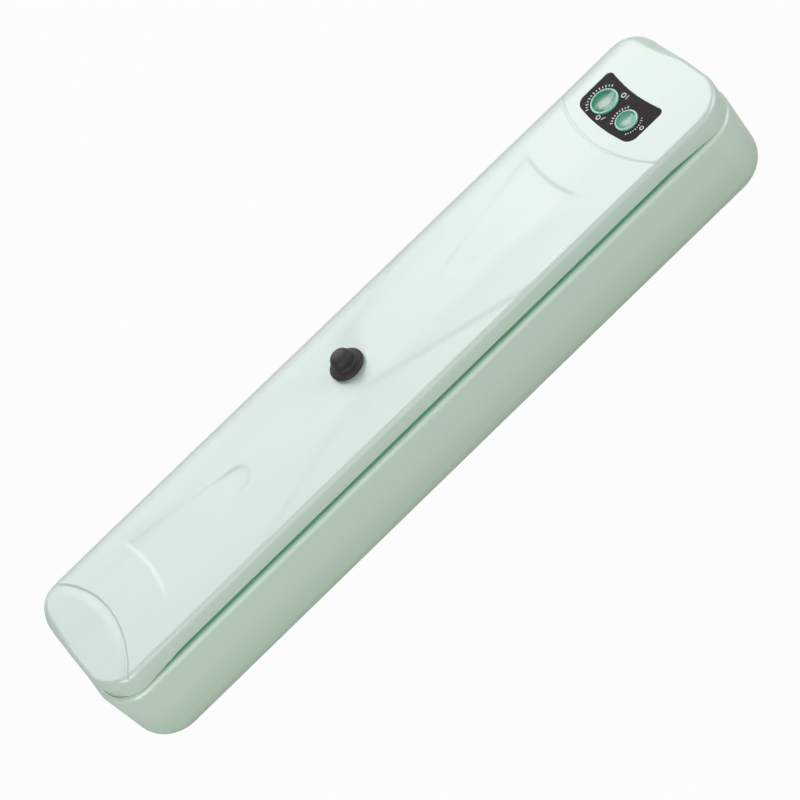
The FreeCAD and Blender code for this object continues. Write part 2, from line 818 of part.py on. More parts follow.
def make_pump_seat():
    sleeve_x0 = cradle_x - sleeve_length / 2.0
    sleeve_x1 = cradle_x + sleeve_length / 2.0
    sleeve_radius = motor_radius + sleeve_thickness
    sleeve = cut(
        bar(sleeve_x0, sleeve_x1, pump_y, pump_z, sleeve_radius),
        [bar(-reach, reach, pump_y, pump_z, motor_radius + press_gap)],
    )
    y0 = pump_y - cradle_half_width
    y1 = pump_y + cradle_half_width
    holes = []
    screws = []
    z_ear = pump_z + strap_thickness
    for side in (-1, 1):
        y = pump_y + side * cradle_screw_offset
        holes.append(post(cradle_x, y, 0.0, z_part, cradle_screw_radius + press_gap))
        screws.append(fuse([
            post(cradle_x, y, foot_height + foot_sunk, z_ear, cradle_screw_radius),
            post(cradle_x, y, z_ear, z_ear + cradle_screw_head_height, cradle_screw_head_radius),
        ]))
    seat = bar(-reach, reach, pump_y, pump_z, sleeve_radius + press_gap)
    cradle = cut(box(sleeve_x0, sleeve_x1, y0, y1, z_floor, pump_z), [seat] + holes)
    strap_x0 = cradle_x - strap_width / 2.0
    strap_x1 = cradle_x + strap_width / 2.0
    arch = bar(strap_x0, strap_x1, pump_y, pump_z, strap_radius)
    arch = arch.common(box(strap_x0, strap_x1, y0, y1, pump_z, z_part))
    strap = fuse([arch, box(strap_x0, strap_x1, y0, y1, pump_z, z_ear)])
    return {
        "pump_sleeve": sleeve,
        "pump_cradle": cradle,
        "pump_strap": cut(strap, [seat] + holes),
        "cradle_screws": group(screws),
    }


def make_hose():
    hose_start = cover_end + pump_screw_head_height + soft_gap
    flange_low = z_roof - port_flange_height
    corner = vec(port_x, pump_y, pump_z)
    points = [vec(hose_start, pump_y, pump_z), corner, vec(port_x, pump_y, flange_low)]
    hose = cut(route(points, hose_bend, hose_radius), [route(points, hose_bend, nipple_radius + press_gap)])
    fitting = fuse([
        post(port_x, pump_y, pump_z + hose_bend + soft_gap, z_trough, nipple_radius),
        post(port_x, pump_y, flange_low, z_roof, port_flange_radius),
    ])
    bore = post(port_x, pump_y, 0.0, z_part, nipple_bore)
    return {"vacuum_hose": hose, "vacuum_port": cut(fitting, [bore])}


# Electrics in the base

header_left_x = board_x + header_inset_left
header_right_x = board_x + board_length - header_inset_right
header_top = board_top + header_height
header_places = [
    (header_left_x, 0.0),
    (header_left_x, heater_header_y),
    (header_right_x, return_header_y),
    (header_right_x, motor_header_y),
    (header_right_x, control_header_y),
]
relay_top = board_top + relay_height


def make_power_board():
    board = box(board_x, board_x + board_length, -board_half_width, board_half_width, board_z, board_top)
    holes = [post(x, y, 0.0, z_part, board_screw_radius + press_gap) for x, y in board_screw_places]
    screws = []
    for x, y in board_screw_places:
        screws.append(fuse([
            post(x, y, z_floor, board_top, board_screw_radius),
            post(x, y, board_top, board_top + board_screw_head_height, board_screw_head_radius),
        ]))
    core_mid = board_top + winding_height / 2.0
    z0 = core_mid - core_height / 2.0
    z1 = core_mid + core_height / 2.0
    half_window = core_window / 2.0
    leg = core_leg / 2.0
    core = box(
        core_x - core_length / 2.0, core_x + core_length / 2.0,
        core_y - core_width / 2.0, core_y + core_width / 2.0, z0, z1,
    )
    windows = []
    for side in (-1, 1):
        half = core_window_width / 2.0
        y0 = core_y + side * (leg + half) - half
        y1 = core_y + side * (leg + half) + half
        windows.append(box(core_x - half_window, core_x + half_window, y0, y1, z0 - over, z1 + over))
    coil_half = half_window - drop_in_gap
    coil_wide = leg + core_window_width - drop_in_gap
    coil_round = core_window_width / 2.0
    coil = slab(
        core_x - coil_half, core_x + coil_half, core_y - coil_wide, core_y + coil_wide, coil_round,
        board_top, board_top + winding_height,
    )
    slack = drop_in_gap / 2.0
    leg_hole = box(
        core_x - half_window, core_x + half_window,
        core_y - leg - slack, core_y + leg + slack, z0 - slack, z1 + slack,
    )
    capacitors = []
    for step in (0, 1):
        y = -capacitor_pitch * (0.5 + step)
        can = post(capacitor_x, y, board_top, board_top + capacitor_height, capacitor_radius)
        top = [e for e in can.Edges if e.BoundBox.ZMin > board_top + capacitor_height - pick]
        capacitors.append(can.makeFillet(foot_edge, top))
    relay = box(
        relay_x - relay_length / 2.0, relay_x + relay_length / 2.0,
        relay_y - relay_width / 2.0, relay_y + relay_width / 2.0, board_top, relay_top,
    )
    headers = []
    for x, y in header_places:
        headers.append(box(
            x - header_width / 2.0, x + header_width / 2.0, y - header_length / 2.0, y + header_length / 2.0,
            board_top, header_top,
        ))
    return {
        "power_board": cut(board, holes),
        "board_screws": group(screws),
        "transformer_core": cut(core, windows),
        "transformer_winding": cut(coil, [leg_hole]),
        "capacitors": group(capacitors),
        "heater_relay": relay,
        "board_headers": group(headers),
    }


def make_inlet():
    face = -half_length - inlet_proud
    socket_end = face + inlet_socket_depth
    back = socket_end + inlet_back
    lobe = inlet_lobe_radius + inlet_wall
    bezel = lobe + inlet_bezel_lip
    catch = inlet_pin_pitch / 2.0
    catch_x = -half_length + base_wall
    housing = fuse([
        inlet_plan(bezel, bezel, face, -half_length),
        inlet_plan(lobe, lobe, -half_length, back),
        box(catch_x, catch_x + inlet_back, -catch, catch, inlet_z - bezel, inlet_z + bezel),
    ])
    side = inlet_pin_pitch / 2.0
    tools = [inlet_plan(inlet_lobe_radius, inlet_waist, face - over, socket_end)]
    pins = []
    for y in (-side, side):
        tools.append(bar(face, back + over, y, inlet_z, inlet_pin_radius + press_gap))
        pins.append(bar(socket_end - inlet_pin_reach, back + inlet_pin_tail, y, inlet_z, inlet_pin_radius))
    return {"power_inlet": cut(housing, tools), "inlet_pins": group(pins)}


def make_switch():
    body_top = z_deck_under - switch_drop
    body = box(
        switch_x - switch_length / 2.0, switch_x + switch_length / 2.0,
        switch_y - switch_thickness / 2.0, switch_y + switch_thickness / 2.0,
        body_top - switch_height, body_top,
    )
    well_low = body_top - switch_plunger_sunk - switch_travel
    well = post(switch_x, switch_y, well_low, body_top + over, switch_plunger_radius + running_gap)
    plunger_low = body_top - switch_plunger_sunk
    plunger = post(switch_x, switch_y, plunger_low, z_lower_seal, switch_plunger_radius)
    return {"lid_switch": cut(body, [well]), "lid_switch_plunger": plunger}


def make_base_leads():
    # Lengths of insulated wire between the board and what it feeds.
    tail_x = -half_length - inlet_proud + inlet_socket_depth + inlet_back + inlet_pin_tail
    fall_z = header_top + lead_rise
    mains = []
    for side in (-1, 1):
        y = side * inlet_pin_pitch / 2.0
        corner = vec(header_left_x, y, inlet_z)
        points = [vec(tail_x, y, inlet_z), corner, vec(header_left_x, y, header_top)]
        mains.append(route(points, lead_bend, lead_radius))
    z_terminal = z_lower_seal - heater_tape_thickness - heater_ribbon_thickness - heater_terminal_web
    left_x = terminal_x(-1)
    right_x = terminal_x(1)
    front_y = -half_width + base_wall + bottom_round - 2.0 * lead_radius
    run_z = z_floor + bottom_round + lead_radius
    supply = [
        vec(left_x, heater_y, z_terminal),
        vec(left_x, heater_y, fall_z),
        vec(header_left_x, heater_header_y, fall_z),
        vec(header_left_x, heater_header_y, header_top),
    ]
    back_home = [
        vec(right_x, heater_y, z_terminal),
        vec(right_x, heater_y, fall_z),
        vec(right_x - lead_slope_run, front_y, run_z),
        vec(header_right_x + lead_slope_run, front_y, run_z),
        vec(header_right_x, return_header_y, fall_z),
        vec(header_right_x, return_header_y, header_top),
    ]
    motor = []
    for side in (-1, 1):
        y = motor_header_y + side * 2.0 * lead_radius
        start_y = pump_y + side * motor_radius / 2.0
        points = [
            vec(motor_x - motor_endcap_length, start_y, pump_z),
            vec(motor_x - cable_slope_run, start_y, pump_z),
            vec(header_right_x + lead_slope_run, y, fall_z),
            vec(header_right_x, y, fall_z),
            vec(header_right_x, y, header_top),
        ]
        motor.append(route(points, lead_bend, lead_radius))
    return {
        "mains_leads": group(mains),
        "heater_leads": group([route(points, lead_bend, lead_radius) for points in (supply, back_home)]),
        "motor_leads": group(motor),
    }


# Lid

lid_screw_places = [
    (sx * lid_screw_end_x, sy * lid_screw_end_y) for sx in (-1, 1) for sy in (-1, 1)
] + [(field_x + side * lid_screw_front_span / 2.0, lid_screw_front_y) for side in (-1, 1)]
buttons = {
    "vacuum": (vacuum_button_x, vacuum_button_y, vacuum_button_radius),
    "seal": (seal_button_x, seal_button_y, seal_button_radius),
}


def wedge_outline(side, grow, z):
    # A long wedge, wide towards the lid's end and round at its tip, as a closed wire.
    tip = field_x + side * (wedge_near + wedge_tip_radius)
    tip_radius = wedge_tip_radius + grow
    nose = tip - side * tip_radius
    far = field_x + side * (wedge_far + grow)
    wide = wedge_half_width + grow
    bow = wide ** 2 / (2.0 * end_groove_radius)
    edges = [
        Part.makeLine(vec(tip, tip_radius, z), vec(far, wide, z)),
        Part.Arc(vec(far, wide, z), vec(far - side * bow, 0.0, z), vec(far, -wide, z)).toShape(),
        Part.makeLine(vec(far, -wide, z), vec(tip, -tip_radius, z)),
        Part.Arc(vec(tip, -tip_radius, z), vec(nose, 0.0, z), vec(tip, tip_radius, z)).toShape(),
    ]
    return Part.Wire(edges)


def relief_tools():
    tools = []
    floor = lid_skin(wedge_depth)
    for side in (-1, 1):
        low = wedge_outline(side, 0.0, z_crest - 2.0 * wedge_depth)
        high = wedge_outline(side, 2.0 * wedge_draft, z_crest)
        tools.append(Part.makeLoft([low, high], True, True).cut(floor))
    groove_floor = lid_skin(end_groove_depth)
    for side in (-1, 1):
        x = field_x + side * (end_groove_reach + end_groove_radius)
        outer = post(x, 0.0, z_lid - over, z_crest + over, end_groove_radius + end_groove_width / 2.0)
        inner = post(x, 0.0, z_lid - over, z_crest + over, end_groove_radius - end_groove_width / 2.0)
        tools.append(outer.cut(inner).cut(groove_floor))
    run = half_width / waist_slope
    for side in (-1, 1):
        apex = vec(field_x, side * waist_apex, z_lid - over)
        left = vec(field_x - run, side * (waist_apex + half_width), z_lid - over)
        right = vec(field_x + run, side * (waist_apex + half_width), z_lid - over)
        plan = Part.Face(Part.makePolygon([apex, left, right, apex]))
        wedge = plan.extrude(vec(0, 0, crest_height + 2.0 * over))
        tilted = lid_skin(0.0)
        pivot_z = z_crest - waist_apex ** 2 / (2.0 * crown_radius)
        tilted.rotate(vec(0, side * waist_apex, pivot_z), vec(1, 0, 0), -side * waist_tilt_degrees)
        tools.append(wedge.cut(tilted))
    return tools


def panel_prism(grow, z0, z1):
    x0 = panel_left - grow
    x1 = panel_right + grow
    y = panel_half_width + grow
    edges = [
        Part.Arc(vec(x0 + panel_bow, -y, z0), vec(x0, 0.0, z0), vec(x0 + panel_bow, y, z0)).toShape(),
        Part.makeLine(vec(x0 + panel_bow, y, z0), vec(x1 + panel_bow, y, z0)),
        Part.Arc(vec(x1 + panel_bow, y, z0), vec(x1, 0.0, z0), vec(x1 + panel_bow, -y, z0)).toShape(),
        Part.makeLine(vec(x1 + panel_bow, -y, z0), vec(x0 + panel_bow, -y, z0)),
    ]
    prism = Part.Face(Part.Wire(edges)).extrude(vec(0, 0, z1 - z0))
    middle = (panel_left + panel_right + panel_bow) / 2.0
    upright = [e for e in prism.Edges if e.BoundBox.ZLength > (z1 - z0) / 2.0]
    left = [e for e in upright if e.BoundBox.XMax < middle]
    prism = prism.makeFillet(panel_corner_left + grow, left)
    upright = [e for e in prism.Edges if e.BoundBox.ZLength > (z1 - z0) / 2.0]
    right = [e for e in upright if e.BoundBox.XMin > panel_right + grow + panel_bow / 2.0]
    return prism.makeFillet(panel_corner_right + grow, right)


def bag_slot():
    # The front edge of the lid is raised along its middle, so that a bag can be pushed in.
    x = half_length - bag_slot_end_inset
    low = z_lid - over
    high = z_lid + bag_slot_rise
    rise = bag_slot_ramp * (high - low) / bag_slot_rise
    y = -half_width - over
    points = [vec(-x - rise, y, low), vec(-x, y, high), vec(x, y, high), vec(x + rise, y, low)]
    plan = Part.Face(Part.makePolygon(points + points[:1]))
    return plan.extrude(vec(0, lid_inset + lid_wall + 2.0 * over, 0))


def make_lid_shell():
    outer = body_slab(lid_inset, z_lid, z_crest + over).common(lid_skin(0.0)).Solids[0]
    rim = []
    for edge in outer.Edges:
        faces = outer.ancestorsOfType(edge, Part.Face)
        upright = [abs(face.normalAt(0.5, 0.5).z) < pick for face in faces]
        if edge.BoundBox.ZMax > z_lid + pick and sum(upright) == 1:
            rim.append(edge)
    outer = outer.makeFillet(lid_edge_round, rim)
    hollow = body_slab(lid_inset + lid_wall, z_lid - over, z_crest).common(lid_skin(lid_wall))
    bosses = []
    for x, y in lid_screw_places:
        boss = post(x, y, z_liner_top, z_crest, lid_boss_radius)
        bosses.append(boss.common(lid_skin(lid_wall / 2.0)))
    for x in hinge_xs:
        for side in (-1, 1):
            near = x + side * (hinge_lug_width / 2.0 + hinge_side_gap)
            far = near + side * hinge_knuckle_length
            bosses.append(bar(min(near, far), max(near, far), hinge_y, hinge_z, hinge_barrel_radius))
    shell = fuse([cut(outer, [hollow])] + bosses)
    tools = relief_tools()
    tools.append(panel_prism(button_gap, z_panel_seat, z_crest + over))
    tools.append(panel_prism(-panel_ledge, z_liner_top, z_crest + over))
    tools.append(post(plug_x, plug_y, z_lid, z_crest + over, vent_bore_radius + vent_tube_wall + drop_in_gap))
    for x in hinge_xs:
        wide = hinge_lug_width / 2.0 + hinge_side_gap
        clear = hinge_barrel_radius + hinge_swing_gap
        tools.append(bar(x - wide, x + wide, hinge_y, hinge_z, clear))
        tools.append(bar(
            x - wide - hinge_knuckle_length, x + wide + hinge_knuckle_length,
            hinge_y, hinge_z, hinge_pin_radius + running_gap,
        ))
    for x, y in lid_screw_places:
        tools.append(post(x, y, z_liner_top, z_liner_top + lid_screw_depth, lid_screw_radius + press_gap))
    tools.append(bag_slot())
    return cut(shell, tools)


def make_lid_liner():
    rear = hinge_y - hinge_barrel_radius - liner_rear_gap
    keep = box(-reach, reach, -reach, rear, 0.0, z_crest)
    plate = body_slab(lid_inset + lid_wall + drop_in_gap, z_lid, z_liner_top).common(keep)
    strip_half = pressure_strip_width / 2.0
    strip_roof = z_lid + pressure_strip_sunk
    tube_top = z_crest - vent_tube_drop
    board_x0 = panel_left + control_board_margin
    board_x1 = panel_right - control_board_margin
    adds = [
        plate,
        chamber_slab(liner_skin, z_lid, z_liner_recess + liner_skin),
        heater_box(strip_half + liner_skin, liner_skin, z_lid, strip_roof + liner_skin),
        post(plug_x, plug_y, z_liner_recess, tube_top, vent_bore_radius + vent_tube_wall),
    ]
    for x in (board_x0 + control_post_radius, board_x1 - control_post_radius):
        for side in (-1, 1):
            y = side * (control_board_half_width - control_post_radius)
            adds.append(post(x, y, z_lid, z_liner_top + control_board_standoff, control_post_radius))
    liner = fuse(adds)
    tools = [
        chamber_slab(0.0, z_lid - over, z_liner_recess),
        heater_box(strip_half + press_gap, press_gap, z_lid - over, strip_roof),
        post(plug_x, plug_y, z_lid, z_crest, vent_bore_radius),
        box(
            cable_board_x - cable_notch, cable_drop_x + cable_notch,
            rear - 2.0 * cable_bend, reach, z_lid - over, z_crest,
        ),
    ]
    for x in hinge_xs:
        wide = hinge_lug_width / 2.0 + hinge_side_gap
        tools.append(box(x - wide, x + wide, hinge_arm_y - hinge_swing_gap, reach, z_lid - over, z_crest))
    head_top = z_lid + lid_screw_head_height
    for x, y in lid_screw_places:
        tools.append(post(x, y, z_lid - over, head_top, lid_screw_head_radius + drop_in_gap))
        tools.append(post(x, y, z_lid, z_crest, lid_screw_radius + drop_in_gap))
    return cut(liner, tools)


def make_lid_screws():
    head_top = z_lid + lid_screw_head_height
    tip = z_liner_top + lid_screw_depth - soft_gap
    screws = []
    for x, y in lid_screw_places:
        screws.append(fuse([
            post(x, y, z_lid, head_top, lid_screw_head_radius),
            post(x, y, head_top, tip, lid_screw_radius),
        ]))
    return group(screws)


def make_hinge_pins():
    reach_x = hinge_lug_width / 2.0 + hinge_side_gap + hinge_knuckle_length
    return group([bar(x - reach_x, x + reach_x, hinge_y, hinge_z, hinge_pin_radius) for x in hinge_xs])


def make_controls():
    pieces = {}
    holes = []
    board_x0 = panel_left + control_board_margin
    board_x1 = panel_right - control_board_margin
    z0 = z_liner_top + control_board_standoff
    z1 = z0 + control_board_thickness
    tact_top = z1 + tact_height
    flange_top = z_panel_seat - button_gap
    flange_low = flange_top - button_flange_height
    top = z_crest + button_proud
    tacts = []
    leds = []
    for name, (x, y, radius) in buttons.items():
        holes.append(post(x, y, z_panel_seat - over, z_crest + over, radius + button_gap))
        cap = fuse([
            post(x, y, flange_low, top, radius),
            post(x, y, flange_low, flange_top, radius + button_flange),
        ])
        dish_radius = radius - button_dish_margin
        ball = (dish_radius ** 2 + button_dish_depth ** 2) / (2.0 * button_dish_depth)
        cap = cut(cap, [Part.makeSphere(ball, vec(x, y, top - button_dish_depth + ball))])
        on_top = [e for e in cap.Edges if e.BoundBox.ZMin > top - pick]
        rim = [e for e in on_top if e.BoundBox.XLength > 2.0 * radius - pick]
        pieces[name + "_button"] = cap.makeFillet(button_dish_depth / 2.0, rim)
        half = tact_side / 2.0
        body = box(x - half, x + half, y - half, y + half, z1, tact_top)
        plunger_low = z1 + button_travel + running_gap
        well = post(x, y, z1 + running_gap, tact_top + over, tact_plunger_radius + running_gap)
        tacts.append(cut(body, [well]))
        pieces[name + "_switch_plunger"] = post(x, y, plunger_low, flange_low, tact_plunger_radius)
        led = lens_led_size / 2.0
        led_x = x + half + lens_led_size
        leds.append(box(led_x - led, led_x + led, y - led, y + led, z1, z1 + lens_led_size))
    panel = panel_prism(0.0, z_panel_seat, z_crest + over).common(lid_skin(panel_sunk))
    pieces["control_panel"] = cut(panel, holes)
    wide = control_board_half_width
    pieces["control_board"] = box(board_x0, board_x1, -wide, wide, z0, z1)
    pieces["tact_switches"] = group(tacts)
    pieces["button_leds"] = group(leds)
    return pieces


def make_release_plug():
    # A round-edged brim and a domed grip above the lid, a fluted stem and a barb below it.
    top = plug_z + plug_height
    neck = plug_z + plug_brim_height
    barb_top = z_liner_recess - plug_travel - soft_gap
    barb_low = barb_top - plug_barb_height
    brim = post(plug_x, plug_y, plug_z, neck, plug_brim_radius)
    brim = brim.makeFillet(plug_brim_round, [e for e in brim.Edges if e.BoundBox.ZLength < pick])
    dome = Part.makeSphere(plug_dome_curve, vec(plug_x, plug_y, top - plug_dome_curve))
    grip = post(plug_x, plug_y, plug_z, top, plug_dome_radius).common(dome)
    crown_edge = [e for e in grip.Edges if e.BoundBox.ZLength < pick and e.BoundBox.ZMin > neck]
    grip = grip.makeFillet(plug_dome_round, crown_edge)
    head = fuse([brim, grip])
    on_neck = [e for e in head.Edges if abs(e.BoundBox.ZMin - neck) < pick and e.BoundBox.ZLength < pick]
    root = [e for e in on_neck if e.BoundBox.XLength < 2.0 * plug_dome_radius + pick]
    head = head.makeFillet(plug_root_round, root)
    barb = Part.makeCone(plug_stem_radius, plug_barb_radius, plug_barb_height, vec(plug_x, plug_y, barb_low))
    stem = post(plug_x, plug_y, barb_low, plug_z, plug_stem_radius)
    plug = fuse([head, stem, barb])
    flute = plug_stem_radius - plug_flute_depth
    flute_top = plug_z - plug_brim_round
    flutes = [
        box(plug_x - reach, plug_x + reach, plug_y + flute, plug_y + reach, barb_low - over, flute_top),
        box(plug_x - reach, plug_x + reach, plug_y - reach, plug_y - flute, barb_low - over, flute_top),
    ]
    return cut(plug, flutes)


def make_control_cable():
    # The cable turns the corner between lid and base on the hinge axis, where it only twists.
    z_start = z_liner_top + control_board_standoff + control_board_thickness + cable_radius
    y_start = control_board_half_width - control_post_radius
    lid_side = [
        vec(cable_board_x, y_start, z_start),
        vec(cable_board_x, hinge_y - cable_rise_run, z_start),
        vec(cable_board_x, hinge_y, hinge_z),
        vec(cable_meet_x, hinge_y, hinge_z),
    ]
    run_y = base_screw_end_y
    run_z = header_top + lead_rise
    base_side = [
        vec(cable_meet_x, hinge_y, hinge_z),
        vec(cable_drop_x, hinge_y, hinge_z),
        vec(cable_drop_x, hinge_y - cable_drop_y, hinge_z - cable_drop_z),
        vec(cable_drop_x, hinge_y - cable_drop_y, run_z),
        vec(cable_drop_x - cable_slope_run, run_y, run_z),
        vec(header_right_x + cable_slope_run, run_y, run_z),
        vec(header_right_x, control_header_y, run_z),
        vec(header_right_x, control_header_y, header_top),
    ]
    return {
        "control_cable_lid": route(lid_side, cable_bend, cable_radius),
        "control_cable_base": route(base_side, cable_bend, cable_radius),
    }


parts = {
    "base_shell": make_base_shell(),
    "rubber_feet": make_feet(),
    "base_screws": make_base_screws(),
    "base_deck": make_base_deck(),
    "lower_gasket": gasket_ring(z_chamber, z_lower_seal),
    "lid_shell": make_lid_shell(),
    "lid_liner": make_lid_liner(),
    "lid_screws": make_lid_screws(),
    "upper_gasket": gasket_ring(z_upper_seal, z_liner_recess),
    "pressure_strip": heater_box(pressure_strip_width / 2.0, 0.0, z_upper_seal, z_lid + pressure_strip_sunk),
    "hinge_pins": make_hinge_pins(),
    "release_plug": make_release_plug(),
}
for made in (
    make_heater, make_motor, make_pump, make_pump_seat, make_hose, make_power_board, make_inlet,
    make_switch, make_base_leads, make_controls, make_control_cable,
):
    parts.update(made())

os.makedirs("parts", exist_ok=True)
for name, shape in sorted(parts.items()):
    shape.exportStep("parts/" + name + ".step")
    volume = round(sum(solid.Volume for solid in shape.Solids), 1)
    state = "valid" if shape.isValid() else "NOT VALID"
    print(name, len(shape.Solids), "solids", volume, "mm3", state)
print(len(parts), "nodes")
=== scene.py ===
import json
import math

import bpy
from mathutils import Matrix, Vector


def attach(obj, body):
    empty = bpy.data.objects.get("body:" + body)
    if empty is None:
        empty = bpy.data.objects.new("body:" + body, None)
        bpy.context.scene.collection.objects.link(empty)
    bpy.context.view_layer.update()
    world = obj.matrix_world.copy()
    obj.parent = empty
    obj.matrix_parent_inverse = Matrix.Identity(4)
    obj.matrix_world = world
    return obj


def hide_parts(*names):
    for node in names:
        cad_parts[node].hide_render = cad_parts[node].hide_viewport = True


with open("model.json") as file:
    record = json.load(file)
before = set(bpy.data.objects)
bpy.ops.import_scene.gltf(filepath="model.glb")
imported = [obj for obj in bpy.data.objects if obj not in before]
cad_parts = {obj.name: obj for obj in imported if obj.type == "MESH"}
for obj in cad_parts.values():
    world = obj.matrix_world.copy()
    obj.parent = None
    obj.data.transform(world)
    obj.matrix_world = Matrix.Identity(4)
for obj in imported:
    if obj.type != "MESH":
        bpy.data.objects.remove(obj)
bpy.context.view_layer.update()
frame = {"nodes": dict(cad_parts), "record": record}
nodes = frame["nodes"]
mm = 0.001  # the frame is in metres, sizes below are in millimetres
print("frame loaded:", len(nodes), "nodes")


# small helpers for working the way one does by hand

def deselectAll():
    if bpy.context.object and bpy.context.object.mode != "OBJECT":
        bpy.ops.object.mode_set(mode="OBJECT")
    bpy.ops.object.select_all(action="DESELECT")


def makeActive(obj):
    deselectAll()
    obj.select_set(True)
    bpy.context.view_layer.objects.active = obj


def named(name):
    obj = bpy.context.object
    obj.name = name
    obj.data.name = name
    return obj


def settle(obj):
    # place, turn and scale go into the mesh
    makeActive(obj)
    bpy.ops.object.transform_apply(location=True, rotation=True, scale=True)
    return obj


def useModifier(obj, kind, **settings):
    makeActive(obj)
    modifier = obj.modifiers.new(kind.lower(), kind)
    for key, value in settings.items():
        setattr(modifier, key, value)
    bpy.ops.object.modifier_apply(modifier=modifier.name)


def cutWith(obj, cutter, operation="DIFFERENCE"):
    useModifier(obj, "BOOLEAN", operation=operation, object=cutter, solver="EXACT")
    bpy.data.objects.remove(cutter)


def smooth(obj, degrees=35):
    makeActive(obj)
    bpy.ops.object.shade_smooth_by_angle(angle=math.radians(degrees))


def pickEdges(obj, test):
    # edit mode with only the edges selected whose two ends both pass the test
    makeActive(obj)
    bpy.ops.object.mode_set(mode="EDIT")
    bpy.ops.mesh.select_mode(type="EDGE")
    bpy.ops.mesh.select_all(action="DESELECT")
    bpy.ops.object.mode_set(mode="OBJECT")
    points = obj.data.vertices
    for edge in obj.data.edges:
        edge.select = all(test(points[i].co) for i in edge.vertices)
    bpy.ops.object.mode_set(mode="EDIT")


def leaveEdit():
    bpy.ops.object.mode_set(mode="OBJECT")


def editAll(obj):
    # edit mode on edges, with everything selected
    makeActive(obj)
    bpy.ops.object.mode_set(mode="EDIT")
    bpy.ops.mesh.select_mode(type="EDGE")
    bpy.ops.mesh.select_all(action="SELECT")


def facesOut(mergeWithin=None):
    # doubles merged where asked, faces turned outwards, and out of edit mode
    bpy.ops.mesh.select_all(action="SELECT")
    if mergeWithin:
        bpy.ops.mesh.remove_doubles(threshold=mergeWithin * mm)
    bpy.ops.mesh.normals_make_consistent(inside=False)
    leaveEdit()


def raiseFaces(obj, height):
    # flat faces drawn up into a closed block
    makeActive(obj)
    bpy.ops.object.mode_set(mode="EDIT")
    bpy.ops.mesh.select_all(action="SELECT")
    bpy.ops.mesh.extrude_region_move(TRANSFORM_OT_translate={"value": (0.0, 0.0, height * mm)})
    facesOut()
    return obj


def clamped(value):
    return min(1.0, max(0.0, value))


def ease(value):
    # 0 to 1 with soft ends
    value = clamped(value)
    return value * value * (3.0 - 2.0 * value)


def linesFrom(stops):
    # places along an axis: (from, to, step) stretches laid end to end
    places = [stops[0][0]]
    for start, end, step in stops:
        count = max(1, round((end - start) / step))
        places += [start + (end - start) * (i + 1) / count for i in range(count)]
    return places


# the camera stands where the photograph was taken from

viewPoint = {
    "place": (-8.56, -773.67, 795.88),
    "right": (0.71697, -0.49542, -0.49042),
    "down": (-0.6971, -0.50634, -0.50762),
    "lens": 115.306,
}


def makeCamera(v):
    lens = bpy.data.cameras.new("viewCamera")
    lens.lens = v["lens"]
    lens.sensor_width = 36.0
    lens.clip_start = 0.05
    lens.clip_end = 20.0
    camera = bpy.data.objects.new("viewCamera", lens)
    bpy.context.scene.collection.objects.link(camera)
    right = Vector(v["right"]).normalized()
    up = -Vector(v["down"])
    up = (up - right * up.dot(right)).normalized()
    back = right.cross(up)
    turn = Matrix((right, up, back)).transposed().to_4x4()
    camera.matrix_world = Matrix.Translation(Vector(v["place"]) * mm) @ turn
    bpy.context.scene.camera = camera


makeCamera(viewPoint)
print("camera set")


# finishes

def newGroup(name, inputs, outputs):
    group = bpy.data.node_groups.new(name, "ShaderNodeTree")
    for label, value in inputs.items():
        socket = group.interface.new_socket(name=label, in_out="INPUT", socket_type="NodeSocketFloat")
        socket.default_value = value
    for label in outputs:
        group.interface.new_socket(name=label, in_out="OUTPUT", socket_type="NodeSocketFloat")
    return group, group.nodes.new("NodeGroupInput"), group.nodes.new("NodeGroupOutput")


def addNode(tree, kind, **settings):
    node = tree.nodes.new(kind)
    for key, value in settings.items():
        setattr(node, key, value)
    return node


def mouldedGrain():
    # the fine spark-eroded grain of a moulding tool, and the slow drift in tone of a big moulding
    group, inside, outside = newGroup(
        "mouldedGrain", {"Grain Size": 900.0, "Drift Size": 14.0}, ["Height", "Drift"]
    )
    place = addNode(group, "ShaderNodeTexCoord")
    grain = addNode(group, "ShaderNodeTexNoise")
    grain.inputs["Detail"].default_value = 3.0
    grain.inputs["Roughness"].default_value = 0.6
    pits = addNode(group, "ShaderNodeTexVoronoi", feature="SMOOTH_F1")
    drift = addNode(group, "ShaderNodeTexNoise")
    drift.inputs["Detail"].default_value = 2.0
    both = addNode(group, "ShaderNodeMath", operation="MULTIPLY_ADD")
    both.inputs[1].default_value = 0.5
    join = group.links.new
    for texture in (grain, pits, drift):
        join(place.outputs["Object"], texture.inputs["Vector"])
    join(inside.outputs["Grain Size"], grain.inputs["Scale"])
    join(inside.outputs["Grain Size"], pits.inputs["Scale"])
    join(inside.outputs["Drift Size"], drift.inputs["Scale"])
    join(pits.outputs["Distance"], both.inputs[0])
    join(grain.outputs["Fac"], both.inputs[2])
    join(both.outputs["Value"], outside.inputs["Height"])
    join(drift.outputs["Fac"], outside.inputs["Drift"])
    return group


